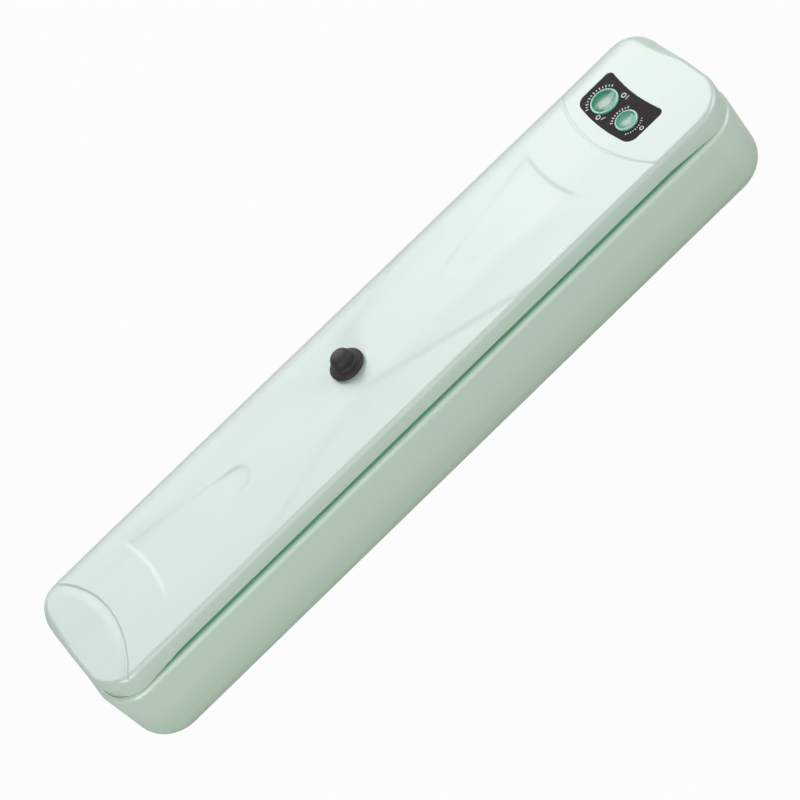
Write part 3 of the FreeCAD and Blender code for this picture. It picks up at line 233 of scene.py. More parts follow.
def hairScuffs():
    # fine rubbed lines that handling leaves, mostly along the piece
    group, inside, outside = newGroup("hairScuffs", {"Scuff Size": 60.0}, ["Scuff"])
    place = addNode(group, "ShaderNodeTexCoord")
    stretch = addNode(group, "ShaderNodeMapping")
    stretch.inputs["Scale"].default_value = (0.08, 1.0, 1.0)
    stretch.inputs["Rotation"].default_value = (0.0, 0.0, 0.35)
    lines = addNode(group, "ShaderNodeTexNoise")
    lines.inputs["Detail"].default_value = 4.0
    keep = addNode(group, "ShaderNodeMapRange")
    keep.inputs["From Min"].default_value = 0.52
    keep.inputs["From Max"].default_value = 0.78
    join = group.links.new
    join(place.outputs["Object"], stretch.inputs["Vector"])
    join(stretch.outputs["Vector"], lines.inputs["Vector"])
    join(inside.outputs["Scuff Size"], lines.inputs["Scale"])
    join(lines.outputs["Fac"], keep.inputs["Value"])
    join(keep.outputs["Result"], outside.inputs["Scuff"])
    return group


grainGroup = mouldedGrain()
scuffGroup = hairScuffs()


def newMaterial(name):
    material = bpy.data.materials.new(name)
    material.use_nodes = True
    return material, material.node_tree


def makeFinish(name, f):
    # one surface: two near tones drifting into each other, grain in the bump, scuffs in the gloss
    material, tree = newMaterial(name)
    shader = tree.nodes["Principled BSDF"]
    size, strength, depth = f["grain"]
    grain = addNode(tree, "ShaderNodeGroup", node_tree=grainGroup)
    grain.inputs["Grain Size"].default_value = size
    grain.inputs["Drift Size"].default_value = f["driftSize"]
    scuff = addNode(tree, "ShaderNodeGroup", node_tree=scuffGroup)
    scuff.inputs["Scuff Size"].default_value = f.get("scuffSize", 60.0)
    tone = addNode(tree, "ShaderNodeMix", data_type="RGBA")
    tone.inputs["A"].default_value = (*f["tone"], 1.0)
    tone.inputs["B"].default_value = (*f["toneTwo"], 1.0)
    gloss = addNode(tree, "ShaderNodeMapRange")
    gloss.inputs["To Min"].default_value = f["rough"][0]
    gloss.inputs["To Max"].default_value = f["rough"][1]
    bump = addNode(tree, "ShaderNodeBump")
    bump.inputs["Strength"].default_value = strength
    bump.inputs["Distance"].default_value = depth
    join = tree.links.new
    join(grain.outputs["Drift"], tone.inputs["Factor"])
    join(tone.outputs["Result"], shader.inputs["Base Color"])
    if "paintedShadeTone" in f:
        # painted light and shade: the colour deepens towards one edge, given along one axis, in place of
        # the shading that light gives there
        axis, start, end = f["paintedShadeSpan"]
        place = addNode(tree, "ShaderNodeTexCoord")
        parts = addNode(tree, "ShaderNodeSeparateXYZ")
        paintedShadeShare = addNode(tree, "ShaderNodeMapRange", interpolation_type="SMOOTHSTEP")
        paintedShadeShare.inputs["From Min"].default_value = start * mm
        paintedShadeShare.inputs["From Max"].default_value = end * mm
        paintedShadeMix = addNode(tree, "ShaderNodeMix", data_type="RGBA")
        paintedShadeMix.inputs["B"].default_value = (*f["paintedShadeTone"], 1.0)
        join(place.outputs["Object"], parts.inputs["Vector"])
        join(parts.outputs[axis], paintedShadeShare.inputs["Value"])
        join(paintedShadeShare.outputs["Result"], paintedShadeMix.inputs["Factor"])
        join(tone.outputs["Result"], paintedShadeMix.inputs["A"])
        join(paintedShadeMix.outputs["Result"], shader.inputs["Base Color"])
    join(scuff.outputs["Scuff"], gloss.inputs["Value"])
    join(gloss.outputs["Result"], shader.inputs["Roughness"])
    join(grain.outputs["Height"], bump.inputs["Height"])
    join(bump.outputs["Normal"], shader.inputs["Normal"])
    shader.inputs["Metallic"].default_value = f.get("metal", 0.0)
    shader.inputs["Specular IOR Level"].default_value = f.get("specular", 0.5)
    shader.inputs["Coat Weight"].default_value = f.get("coat", 0.0)
    shader.inputs["Coat Roughness"].default_value = 0.2
    shader.inputs["Sheen Weight"].default_value = f.get("sheen", 0.0)
    shader.inputs["Transmission Weight"].default_value = f.get("through", 0.0)
    return material


shellMoulding = {
    "rough": (0.33, 0.41), "grain": (1400.0, 0.05, 0.00006), "driftSize": 9.0, "specular": 1.0,
}  # the grain is its size, strength and depth
finishes = {
    # painted shade: the base's wall is painted darker and deeper green towards the bottom, where it gets
    # less light
    "shellGreen": {
        **shellMoulding, "tone": (0.582, 0.738, 0.617), "toneTwo": (0.594, 0.747, 0.63),
        "paintedShadeTone": (0.475, 0.635, 0.485), "paintedShadeSpan": ("Z", 33.0, 3.0),  # down the wall of the base
    },
    # painted sheen: the lid's top is given a paler, less saturated green than its skirt, standing in for
    # the whitened highlight on top
    "lidGreen": {
        **shellMoulding, "tone": (0.591, 0.72, 0.636), "toneTwo": (0.603, 0.729, 0.649),
        "paintedShadeTone": (0.588, 0.742, 0.623), "paintedShadeSpan": ("Z", 52.0, 49.5),  # from the top to the skirt
    },
    # painted shade: a darker, deeper green along the front edge, where it is seen in the shaded slot
    # under the lid
    "linerPale": {
        "tone": (0.49, 0.66, 0.55), "toneTwo": (0.51, 0.68, 0.57), "rough": (0.42, 0.52),
        "grain": (1100.0, 0.1, 0.0001), "driftSize": 12.0,
        "paintedShadeTone": (0.22, 0.60, 0.37), "paintedShadeSpan": ("Y", -34.5, -37.0),  # front edge, seen in the slot
    },
    "rubberBlack": {
        "tone": (0.016, 0.015, 0.014), "toneTwo": (0.024, 0.022, 0.02), "rough": (0.5, 0.64),
        "grain": (1600.0, 0.12, 0.0001), "driftSize": 60.0, "specular": 0.35,
    },
    "panelBlack": {
        "tone": (0.030, 0.027, 0.026), "toneTwo": (0.038, 0.034, 0.033), "rough": (0.5, 0.6),
        "grain": (2200.0, 0.06, 0.00005), "driftSize": 40.0, "specular": 0.05,
    },
    "markWhite": {
        "tone": (0.82, 0.82, 0.8), "toneTwo": (0.74, 0.74, 0.73), "rough": (0.5, 0.6),
        "grain": (3000.0, 0.1, 0.00003), "driftSize": 300.0,
    },
    "foamGrey": {
        "tone": (0.05, 0.052, 0.053), "toneTwo": (0.075, 0.077, 0.078), "rough": (0.8, 0.92),
        "grain": (1500.0, 0.55, 0.0004), "driftSize": 90.0, "sheen": 0.15,
    },
    "siliconeWhite": {
        "tone": (0.66, 0.64, 0.57), "toneTwo": (0.7, 0.68, 0.62), "rough": (0.45, 0.55),
        "grain": (1200.0, 0.08, 0.0001), "driftSize": 40.0,
    },
    "innerBlack": {
        "tone": (0.03, 0.03, 0.032), "toneTwo": (0.042, 0.042, 0.045), "rough": (0.38, 0.5),
        "grain": (1500.0, 0.1, 0.0001), "driftSize": 50.0,
    },
    "innerWhite": {
        "tone": (0.7, 0.7, 0.66), "toneTwo": (0.75, 0.75, 0.71), "rough": (0.38, 0.5),
        "grain": (1500.0, 0.08, 0.0001), "driftSize": 40.0,
    },
    "drawnSteel": {
        "tone": (0.52, 0.52, 0.53), "toneTwo": (0.6, 0.6, 0.61), "rough": (0.22, 0.42), "metal": 1.0,
        "grain": (2500.0, 0.06, 0.00005), "driftSize": 80.0, "scuffSize": 240.0,
    },
    "platedSteel": {
        "tone": (0.66, 0.66, 0.67), "toneTwo": (0.72, 0.72, 0.73), "rough": (0.1, 0.24), "metal": 1.0,
        "grain": (2500.0, 0.03, 0.00004), "driftSize": 60.0, "scuffSize": 200.0,
    },
    "pressedIron": {
        "tone": (0.07, 0.07, 0.075), "toneTwo": (0.11, 0.105, 0.1), "rough": (0.5, 0.7), "metal": 0.8,
        "grain": (1200.0, 0.2, 0.0001), "driftSize": 90.0,
    },
    "copperBrass": {
        "tone": (0.7, 0.4, 0.2), "toneTwo": (0.78, 0.5, 0.26), "rough": (0.25, 0.42), "metal": 1.0,
        "grain": (2000.0, 0.1, 0.00005), "driftSize": 120.0,
    },
    "boardGreen": {
        "tone": (0.02, 0.15, 0.06), "toneTwo": (0.03, 0.19, 0.08), "rough": (0.25, 0.38),
        "grain": (1800.0, 0.08, 0.00005), "driftSize": 160.0, "coat": 0.3,
    },
    "pressedFibre": {
        "tone": (0.3, 0.17, 0.09), "toneTwo": (0.36, 0.22, 0.12), "rough": (0.7, 0.85),
        "grain": (900.0, 0.3, 0.0002), "driftSize": 150.0,
    },
    "hoseClear": {
        "tone": (0.68, 0.7, 0.68), "toneTwo": (0.74, 0.76, 0.74), "rough": (0.22, 0.34),
        "grain": (900.0, 0.04, 0.00005), "driftSize": 60.0, "through": 0.5,
    },
    "leadWhite": {
        "tone": (0.66, 0.66, 0.63), "toneTwo": (0.72, 0.72, 0.7), "rough": (0.4, 0.5),
        "grain": (1500.0, 0.05, 0.00005), "driftSize": 70.0,
    },
    "buttonGreen": {
        "tone": (0.03, 0.36, 0.2), "toneTwo": (0.05, 0.42, 0.25), "rough": (0.1, 0.2),
        "grain": (1800.0, 0.02, 0.00004), "driftSize": 120.0, "coat": 0.6,
    },
    "tapeWeave": {
        "tone": (0.42, 0.29, 0.15), "toneTwo": (0.48, 0.34, 0.19), "rough": (0.4, 0.5),
        "grain": (1200.0, 0.15, 0.0001), "driftSize": 60.0,
    },
}
finish = {name: makeFinish(name, f) for name, f in finishes.items()}

slotFinish = {
    "shell_green": "shellGreen", "liner_grey": "linerPale", "foam_grey": "foamGrey",
    "silicone_white": "siliconeWhite", "rubber_black": "rubberBlack", "panel_black": "panelBlack",
    "button_green": "buttonGreen", "inner_black": "innerBlack", "inner_white": "innerWhite",
    "steel": "drawnSteel", "can_steel": "platedSteel", "iron_dark": "pressedIron",
    "copper_brass": "copperBrass", "board_green": "boardGreen", "heat_tape": "tapeWeave",
    "bed_fibre": "pressedFibre", "hose_clear": "hoseClear", "lead_white": "leadWhite",
}


def dress(obj, material):
    obj.data.materials.clear()
    obj.data.materials.append(material)


for row in frame["record"]["subparts"]:
    dress(nodes[row["node"]], finish[slotFinish[row["material_slot"]]])
print("finishes made:", len(finish))


# the lid's outer moulding, with its soft relief

lid = {
    # plan and section
    "halfLength": 179.1, "front": -39.6, "rear": 38.9, "corner": 18.1, "rearCorner": 21.0,
    "bottom": 42.0, "crest": 53.3, "crown": 1500.0, "wall": 2.4, "thinnest": 1.4, "innerRise": 0.4,
    "rearRoll": (14.4, 1.5, 120.0),  # radius in the middle, its change and over what length
    "rollLimit": 1.1, "rearRollEdge": 39.6,
    "edgeRound": 2.0, "rearCornerRound": (4.0, 7.0), "leastSkirt": 1.0,
    "broadens": (-10.0, 28.0), "rollTakesOver": (0.6, 0.4),  # where a change starts and how long it is
    "leftSlant": 0.05, "slantFrom": 12.0, "slantStart": -140.0,
    "slotRise": 2.2, "slotEnd": 170.0, "slotRamp": 30.0, "close": 0.7, "closeEnds": (8.0, 12.0),
    # relief
    "fieldX": -12.5, "reliefEnds": (29.0, 8.0),
    "wedgeNear": 58.5, "wedgeFar": 118.0, "wedgeHalf": 18.2, "wedgeTip": 6.0, "wedgeBow": 2.1,
    "wedgeStep": (0.11, 1.8), "wedgeTipBowl": (0.26, 2.6), "wedgeFarBowl": (0.5, 14.0),  # depth, softness
    "tipRun": 0.22, "farBowlFrom": 0.3, "farSoft": 2.4,
    "rightTip": 0.3,  # share of the tip's depth on the right
    "leftGroove": (-153.7, 56.5, -3.0), "rightGroove": (126.9, 72.8, -1.8),  # apex, radius and middle
    "leftGrooveDepth": 0.55, "leftGrooveLip": 0.9, "padSoft": 4.6, "padTilt": 0.042, "tiltFrom": 2.0,
    "rightGrooveDepth": 0.24, "rightGrooveHalf": 1.1,
    "waistApex": 13.5, "waistSlope": 0.32, "waistSoft": 2.2, "waistTilt": 0.006,
    "waistStep": (0.1, 0.22),  # left and right
    # grid lines and the rings of the rim
    "gridInset": 5.0, "grooveReach": 34.0, "grooveNear": 4.0, "grooveFade": 16.6,
    "rings": (4.2, 3.4, 2.7, 2.1, 1.6, 1.2, 0.85, 0.55, 0.3, 0.12, 0.03, 0.0), "innerRings": (4.0, 3.1),
    "lip": ((0.0, 0.5), (0.08, 0.18), (0.3, 0.0)),  # inset and height of the rounded lower edge
    "lipLeast": 0.1, "lipFull": 0.8,
    "endColumns": 14, "rows": 78,
    "along": [
        (-161.0, -157.5, 0.9), (-157.5, -150.5, 0.35), (-150.5, -134.0, 1.5), (-134.0, -126.0, 0.5),
        (-126.0, -82.0, 1.9), (-82.0, -62.0, 1.1), (-62.0, 38.0, 1.9), (38.0, 56.0, 1.1),
        (56.0, 101.0, 1.9), (101.0, 109.0, 0.5), (109.0, 124.5, 1.5), (124.5, 130.5, 0.35),
        (130.5, 161.0, 1.5),
    ],
    # hinge, vent hole and screw bosses
    "knuckleXs": (-107.5, 82.5), "hingeY": 34.2, "hingeZ": 43.2, "barrel": 2.4, "barrelGap": 2.75,
    "lugHalf": 5.3, "knuckleLength": 8.0, "pinHole": 1.25, "pinOver": 1.0,
    "vent": (-10.8, 2.1, 4.4), "cutTop": 56.0, "rodSides": 48,
    "bosses": ((-168, -17), (-168, 17), (168, -17), (168, 17), (-60, -35.2), (35, -35.2)),
    "bossLow": 43.8, "bossRadius": 2.3, "bossCover": 1.0,
    "screwHole": 1.05, "screwDepth": 3.3, "screwStart": 0.5,
}
panel = {
    "left": 134.6, "right": 154.4, "half": 20.1, "bow": 2.1, "cornerLeft": 4.0, "cornerRight": 3.0,
    "seat": 51.6, "top": 53.15, "gap": 0.15, "ledge": 1.2, "columns": 40, "rows": 24,
}


def wedgeRecess(x, y, s):
    # the wedge-shaped recess on one side of the field: a faint step, deeper at its tip and far edge
    along = s * (x - lid["fieldX"])
    tipX = lid["wedgeNear"] + lid["wedgeTip"]
    run = (along - tipX) / (lid["wedgeFar"] - tipX)
    edge = lid["wedgeTip"] + (lid["wedgeHalf"] - lid["wedgeTip"]) * run - abs(y)
    if run < 0.0:
        edge = lid["wedgeTip"] - math.hypot(along - tipX, y)
    tipShare = 1.0 if s < 0 else lid["rightTip"]
    farFrom = lid["farBowlFrom"]
    bowls = (
        (lid["wedgeStep"], 1.0),
        (lid["wedgeTipBowl"], tipShare * (1.0 - ease(run / lid["tipRun"]))),
        (lid["wedgeFarBowl"], ease((run - farFrom) / (1.0 - farFrom))),
    )
    depth = 0.0
    for (deep, soft), share in bowls:
        depth += share * deep * ease(0.5 + edge / soft)
    farEdge = lid["wedgeFar"] - lid["wedgeBow"] * (1.0 - (y / lid["wedgeHalf"]) ** 2)
    return depth * ease(0.5 + (farEdge - along) / lid["farSoft"])


def padRelief(x, y):
    # the arc groove at each end, and the pillowed pad beyond the left one
    apex, radius, middle = lid["leftGroove"]
    past = radius - math.hypot(x - (apex - radius), y - middle)  # over 0 on the pad
    lip = lid["leftGrooveLip"]
    drop = 0.0
    if past > -lip:
        near = ease((past + lip) / lip) if past < 0.0 else 1.0 - ease(past / lid["padSoft"])
        drop += lid["leftGrooveDepth"] * near
    drop += lid["padTilt"] * max(0.0, past - lid["tiltFrom"])
    apex, radius, middle = lid["rightGroove"]
    past = radius - math.hypot(x - (apex + radius), y - middle)
    drop += lid["rightGrooveDepth"] * (1.0 - ease(abs(past) / lid["rightGrooveHalf"]))
    return drop


def waistFall(x, y):
    # the shallow facets in front of and behind the waist, set off by a soft step
    beyond = abs(y) - lid["waistApex"] - lid["waistSlope"] * abs(x - lid["fieldX"])
    step = lid["waistStep"][0 if x < lid["fieldX"] else 1]
    return step * ease(0.5 + 0.5 * beyond / lid["waistSoft"]) + lid["waistTilt"] * max(0.0, beyond)


def lidSkin(x, y):
    # the crowned top, running into the rolled rear
    radius, change, length = lid["rearRoll"]
    limit = lid["rollLimit"]
    roll = radius + change * min(limit, max(-limit, x / length))
    crown = lid["crown"]
    crownZ = lid["crest"] - crown
    rollY = lid["rearRollEdge"] - roll
    if y < rollY / (crown - roll) * crown:
        return crownZ + math.sqrt(crown ** 2 - y * y)
    rollZ = crownZ + math.sqrt((crown - roll) ** 2 - rollY ** 2)
    return rollZ + math.sqrt(max(0.0, roll ** 2 - (y - rollY) ** 2))


def outward(x, y):
    # how far inside the lid's plan a point is, and which way its nearest edge faces
    middle = (lid["front"] + lid["rear"]) / 2.0
    corner = lid["rearCorner"] if y > middle else lid["corner"]
    qx = abs(x) - (lid["halfLength"] - corner)
    qy = abs(y - middle) - ((lid["rear"] - lid["front"]) / 2.0 - corner)
    sideX, sideY = math.copysign(1.0, x), math.copysign(1.0, y - middle)
    if qx > 0.0 and qy > 0.0:
        away = math.hypot(qx, qy)
        return corner - away, sideX * qx / away, sideY * qy / away
    if qx > qy:
        return corner - qx, sideX, 0.0
    return corner - qy, 0.0, sideY


def edgeDrop(x, y, z):
    # the rounded top edge: tight in front, broad where the rear roll meets the ends
    inset, faceX, faceY = outward(x, y)
    radius = lid["edgeRound"]
    widest = lid["rearCornerRound"][0 if x < 0.0 else 1]
    start, over = lid["broadens"]
    radius += (widest - radius) * abs(faceX) * ease((y - start) / over)
    radius = min(radius, z - lid["bottom"] - lid["leastSkirt"])
    reach = max(0.0, radius - inset)
    drop = radius - math.sqrt(max(0.0, radius ** 2 - reach ** 2))
    start, over = lid["rollTakesOver"]
    return drop * (1.0 - ease((faceY - start) / over))


def lidHeight(x, y):
    z = lidSkin(x, y)
    relief = wedgeRecess(x, y, 1) + wedgeRecess(x, y, -1) + padRelief(x, y) + waistFall(x, y)
    start, over = lid["reliefEnds"]
    z -= relief * (1.0 - ease((y - start) / over))
    return z - edgeDrop(x, y, z)


def lidInside(x, y):
    inside = min(lidSkin(x, y) - lid["wall"], lidHeight(x, y) - lid["thinnest"])
    return max(inside, lid["bottom"] + lid["innerRise"])


def lidLow(x, y):
    # the lower edge: close to the base, but raised along the front where a bag goes in and at the hinge
    start, over = lid["closeEnds"]
    low = lid["bottom"] - lid["close"] * (1.0 - ease((y - start) / over))
    if y > 0.0:
        return low
    raised = clamped((lid["slotEnd"] - abs(x)) / lid["slotRamp"])
    return low + (lid["slotRise"] + lid["close"]) * raised


def planSpan(x, inset):
    # front and rear edges of the plan, drawn in by an inset, at a place along the lid
    drawn = []
    for corner in (lid["corner"], lid["rearCorner"]):
        over = max(0.0, abs(x) - (lid["halfLength"] - corner))
        drawn.append(corner - inset - math.sqrt(max(0.0, (corner - inset) ** 2 - over ** 2)))
    return lid["front"] + inset + drawn[0], lid["rear"] - inset - drawn[1]


def grooveShift(x, y):
    # grid lines lean over so that they run along the two arc grooves
    shift = 0.0
    for (apex, radius, middle), s in ((lid["leftGroove"], -1.0), (lid["rightGroove"], 1.0)):
        across = min(lid["grooveReach"], abs(y - middle))
        fade = clamped((abs(x - apex) - lid["grooveNear"]) / lid["grooveFade"])
        shift += s * (radius - math.sqrt(radius ** 2 - across ** 2)) * (1.0 - fade)
    return shift


def panelBlock(name, grow, low, high):
    # a block with the panel's plan: bowed towards the left at both ends, round corners
    p = panel
    x0, x1, half = p["left"] - grow, p["right"] + grow, p["half"] + grow
    deselectAll()
    bpy.ops.mesh.primitive_grid_add(x_subdivisions=p["columns"], y_subdivisions=p["rows"], size=1.0)
    block = named(name)
    for v in block.data.vertices:
        s = 0.5 - 0.5 * math.cos(math.pi * (v.co.x + 0.5))  # closer lines towards the two ends
        x = x0 + (x1 - x0) * s
        span = half
        for edge, radius in ((x - x0, p["cornerLeft"] + grow), (x1 - x, p["cornerRight"] + grow)):
            if edge < radius:
                span = half - radius + math.sqrt(max(0.0, radius ** 2 - (radius - edge) ** 2))
        y = 2.0 * v.co.y * span
        v.co = Vector((x + p["bow"] * (y / p["half"]) ** 2, y, low)) * mm
    return raiseFaces(block, high - low)


def rod(name, middle, length, radius, turn=(0.0, 0.0, 0.0)):
    deselectAll()
    bpy.ops.mesh.primitive_cylinder_add(
        vertices=lid["rodSides"], radius=radius * mm, depth=length * mm,
        location=[at * mm for at in middle], rotation=turn,
    )
    return settle(named(name))


def rodAlongX(name, x0, x1, y, z, radius):
    return rod(name, ((x0 + x1) / 2.0, y, z), x1 - x0, radius, (0.0, math.pi / 2.0, 0.0))


def rodAlongZ(name, x, y, z0, z1, radius):
    return rod(name, (x, y, (z0 + z1) / 2.0), z1 - z0, radius)


def joined(name, pieces):
    deselectAll()
    for piece in pieces:
        piece.select_set(True)
    bpy.context.view_layer.objects.active = pieces[0]
    bpy.ops.object.join()
    return named(name)


def lidColumns():
    straight = lid["halfLength"] - lid["corner"]
    corner = lid["corner"] - lid["gridInset"]
    count = lid["endColumns"]
    bend = [straight + corner * math.sin(math.pi / 2.0 * (i + 1) / count) for i in range(count)]
    return [-x for x in reversed(bend)] + linesFrom(lid["along"]) + bend


def lidSheet(name, height, rings):
    # a grid over the plan, then its rim pulled out ring by ring
    # a ring is its inset, and its height over the lower edge or None where it follows the top
    xs = lidColumns()
    columns, rows = len(xs) - 1, lid["rows"]
    deselectAll()
    bpy.ops.mesh.primitive_grid_add(x_subdivisions=columns, y_subdivisions=rows, size=1.0)
    sheet = named(name)
    for v in sheet.data.vertices:
        x = xs[round((v.co.x + 0.5) * columns)]
        part = v.co.y + 0.5
        front, rear = planSpan(x, lid["gridInset"])
        x += grooveShift(x, front + (rear - front) * part)
        front, rear = planSpan(x, lid["gridInset"])
        y = front + (rear - front) * part
        v.co = (x * mm, y * mm, height(x, y) * mm)
    editAll(sheet)
    bpy.ops.mesh.region_to_loop()
    for inset, lift in rings:
        bpy.ops.mesh.extrude_edges_move(TRANSFORM_OT_translate={"value": (0.0, 0.0, 0.0)})
        bpy.ops.object.mode_set(mode="OBJECT")
        for v in sheet.data.vertices:
            if v.select:
                x, y = v.co.x / mm, v.co.y / mm
                now, faceX, faceY = outward(x, y)
                x += faceX * (now - inset)
                y += faceY * (now - inset)
                z = height(x, y)
                if lift is not None:
                    low = lidLow(x, y)
                    z = low + lift * min(1.0, max(lid["lipLeast"], (z - low) / lid["lipFull"]))
                v.co = (x * mm, y * mm, z * mm)
        bpy.ops.object.mode_set(mode="EDIT")
    leaveEdit()
    for v in sheet.data.vertices:  # the left end stands at a slight slant
        share = ease((lid["slantStart"] * mm - v.co.x) / (lid["slantStart"] + lid["halfLength"]) / mm)
        v.co.x += share * lid["leftSlant"] * max(0.0, lid["slantFrom"] * mm - v.co.y)
    return sheet


def makeLidTop():
    wall = lid["wall"]
    outerRings = [(inset, None) for inset in lid["rings"]] + list(lid["lip"])
    innerRings = [(inset, None) for inset in (*lid["innerRings"], wall)] + [(wall, 0.0)]
    outer = lidSheet("lidOuter", lidHeight, outerRings)
    inner = lidSheet("lidInner", lidInside, innerRings)
    top = joined("lidTop", [outer, inner])
    bpy.ops.object.mode_set(mode="EDIT")
    bpy.ops.mesh.select_mode(type="EDGE")
    bpy.ops.mesh.select_all(action="DESELECT")
    bpy.ops.mesh.select_non_manifold(extend=False)
    bpy.ops.mesh.bridge_edge_loops()
    facesOut()
    print("lid top:", len(top.data.polygons), "faces")
    return top


def finishLid(top):
    adds, openings, bores = [], [], []
    low, cutTop = lid["bossLow"], lid["cutTop"]
    for x, y in lid["bosses"]:
        bossTop = lidHeight(x, y) - lid["bossCover"]
        adds.append(rodAlongZ("boss", x, y, low, bossTop, lid["bossRadius"]))
        ends = (low - lid["screwStart"], low + lid["screwDepth"])
        bores.append(rodAlongZ("screwHole", x, y, *ends, lid["screwHole"]))
    axis = (lid["hingeY"], lid["hingeZ"])
    for x in lid["knuckleXs"]:
        for s in (-1, 1):
            ends = sorted((x + s * lid["lugHalf"], x + s * (lid["lugHalf"] + lid["knuckleLength"])))
            adds.append(rodAlongX("knuckle", *ends, *axis, lid["barrel"]))
        ends = (x - lid["lugHalf"], x + lid["lugHalf"])
        openings.append(rodAlongX("gap", *ends, *axis, lid["barrelGap"]))
        reach = lid["lugHalf"] + lid["knuckleLength"] + lid["pinOver"]
        bores.append(rodAlongX("pinHole", x - reach, x + reach, *axis, lid["pinHole"]))
    openings.append(panelBlock("pocket", panel["gap"], panel["seat"], cutTop))
    bores.append(panelBlock("window", -panel["ledge"], low, cutTop))
    x, y, radius = lid["vent"]
    openings.append(rodAlongZ("ventHole", x, y, low, cutTop, radius))
    cutWith(top, joined("lidAdds", adds), "UNION")
    cutWith(top, joined("lidOpenings", openings))
    cutWith(top, joined("lidBores", bores))
    smooth(top, 32)
    dress(top, finish["lidGreen"])
    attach(top, "lid")
    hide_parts("lid_shell")
    print("lid finished:", len(top.data.polygons), "faces")


finishLid(makeLidTop())


# turned pieces: the release plug, the two keys and the feet

def turned(name, x, y, profile, steps=72):
    # a line of (radius, height) points drawn vertex by vertex, then spun about an upright axis
    deselectAll()
    bpy.ops.mesh.primitive_plane_add(size=2.0 * mm)
    piece = named(name)
    bpy.ops.object.mode_set(mode="EDIT")
    bpy.ops.mesh.select_mode(type="VERT")
    bpy.ops.mesh.select_all(action="SELECT")
    bpy.ops.mesh.merge(type="CENTER")
    radius, height = profile[0]
    bpy.ops.transform.translate(value=((x + radius) * mm, y * mm, height * mm))
    for (r0, h0), (r1, h1) in zip(profile, profile[1:]):
        step = ((r1 - r0) * mm, 0.0, (h1 - h0) * mm)
        bpy.ops.mesh.extrude_vertices_move(TRANSFORM_OT_translate={"value": step})
    bpy.ops.mesh.select_all(action="SELECT")
    middle = (x * mm, y * mm, 0.0)
    bpy.ops.mesh.spin(steps=steps, angle=2.0 * math.pi, center=middle, axis=(0.0, 0.0, 1.0))
    facesOut(mergeWithin=0.002)
    return piece


def bevelEdges(obj, width, segments, overAngle):
    useModifier(
        obj, "BEVEL", width=width * mm, segments=segments, limit_method="ANGLE",
        angle_limit=math.radians(overAngle),
    )


plug = {
    "x": -10.8, "y": 2.1,
    "profile": [
        (0.0, 62.2), (1.5, 62.16), (3.2, 61.8), (4.4, 61.0), (4.95, 59.9), (4.95, 58.4), (4.85, 57.4),
        (5.0, 56.8), (5.4, 56.35), (6.1, 56.05), (7.0, 55.75), (7.8, 55.3), (8.2, 54.7), (8.1, 54.1),
        (7.6, 53.62), (6.2, 53.6), (3.4, 53.6), (2.75, 53.45), (2.7, 53.0), (2.7, 41.5), (2.7, 40.4),
        (3.7, 40.3), (3.6, 40.05), (2.75, 38.75), (2.3, 38.7), (0.0, 38.7),
    ],
    "flat": 1.9, "flatTop": 52.5, "flatLow": 38.0, "cutter": (12.0, 4.0), "steps": 40,
}


def makePlug(p):
    rubber = turned("plugRubber", p["x"], p["y"], p["profile"], p["steps"])
    useModifier(rubber, "SUBSURF", levels=2, render_levels=2)
    sides = []
    wide, deep = p["cutter"]
    for s in (-1, 1):  # two flats on the stem let the air past
        y = p["y"] + s * (p["flat"] + deep / 2.0)
        z = (p["flatTop"] + p["flatLow"]) / 2.0
        deselectAll()
        bpy.ops.mesh.primitive_cube_add(
            size=1.0, scale=(wide * mm, deep * mm, (p["flatTop"] - p["flatLow"]) * mm),
            location=(p["x"] * mm, y * mm, z * mm),
        )
        sides.append(settle(named("flatSide")))
    cutWith(rubber, joined("flatSides", sides))
    smooth(rubber, 40)
    dress(rubber, finish["rubberBlack"])
    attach(rubber, "release")
    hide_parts("release_plug")


# each key's tones run out from its middle: a pale frosted core, painted shade near the deep wall of the
# dish, and a painted highlight ring at the rim
keys = {
    "vacuumKey": {
        "x": 144.2, "y": 8.6, "radius": 6.6, "body": "vacuum_key", "node": "vacuum_button",
        "tonesWithPaintedLight": [
            (0.0, (0.30, 0.43, 0.36)), (0.38, (0.24, 0.40, 0.31)), (0.66, (0.07, 0.30, 0.18)),
            (0.86, (0.006, 0.19, 0.10)), (0.95, (0.03, 0.34, 0.2)), (1.0, (0.14, 0.50, 0.33)),
        ],
    },
    "sealKey": {
        "x": 143.5, "y": -8.8, "radius": 5.3, "body": "seal_key", "node": "seal_button",
        "tonesWithPaintedLight": [
            (0.0, (0.25, 0.45, 0.35)), (0.4, (0.19, 0.42, 0.30)), (0.75, (0.11, 0.38, 0.25)),
            (0.9, (0.05, 0.30, 0.18)), (0.96, (0.1, 0.42, 0.28)), (1.0, (0.2, 0.5, 0.36)),
        ],
    },
}
keyShape = {
    "top": 53.9, "low": 50.55, "flangeTop": 51.45, "flange": 0.8, "lip": 0.75,
    "dish": 1.15, "dishPower": 2.6, "steps": 16, "edge": 0.22,
}
keyLook = {
    "frostSize": 900.0, "frostDetail": 3.0, "frostShift": 0.16,
    "middle": (0.2, 0.34), "rim": (0.9, 0.1),  # distance in radii, and the roughness there
    "coat": 0.45, "coatRough": 0.08,
}


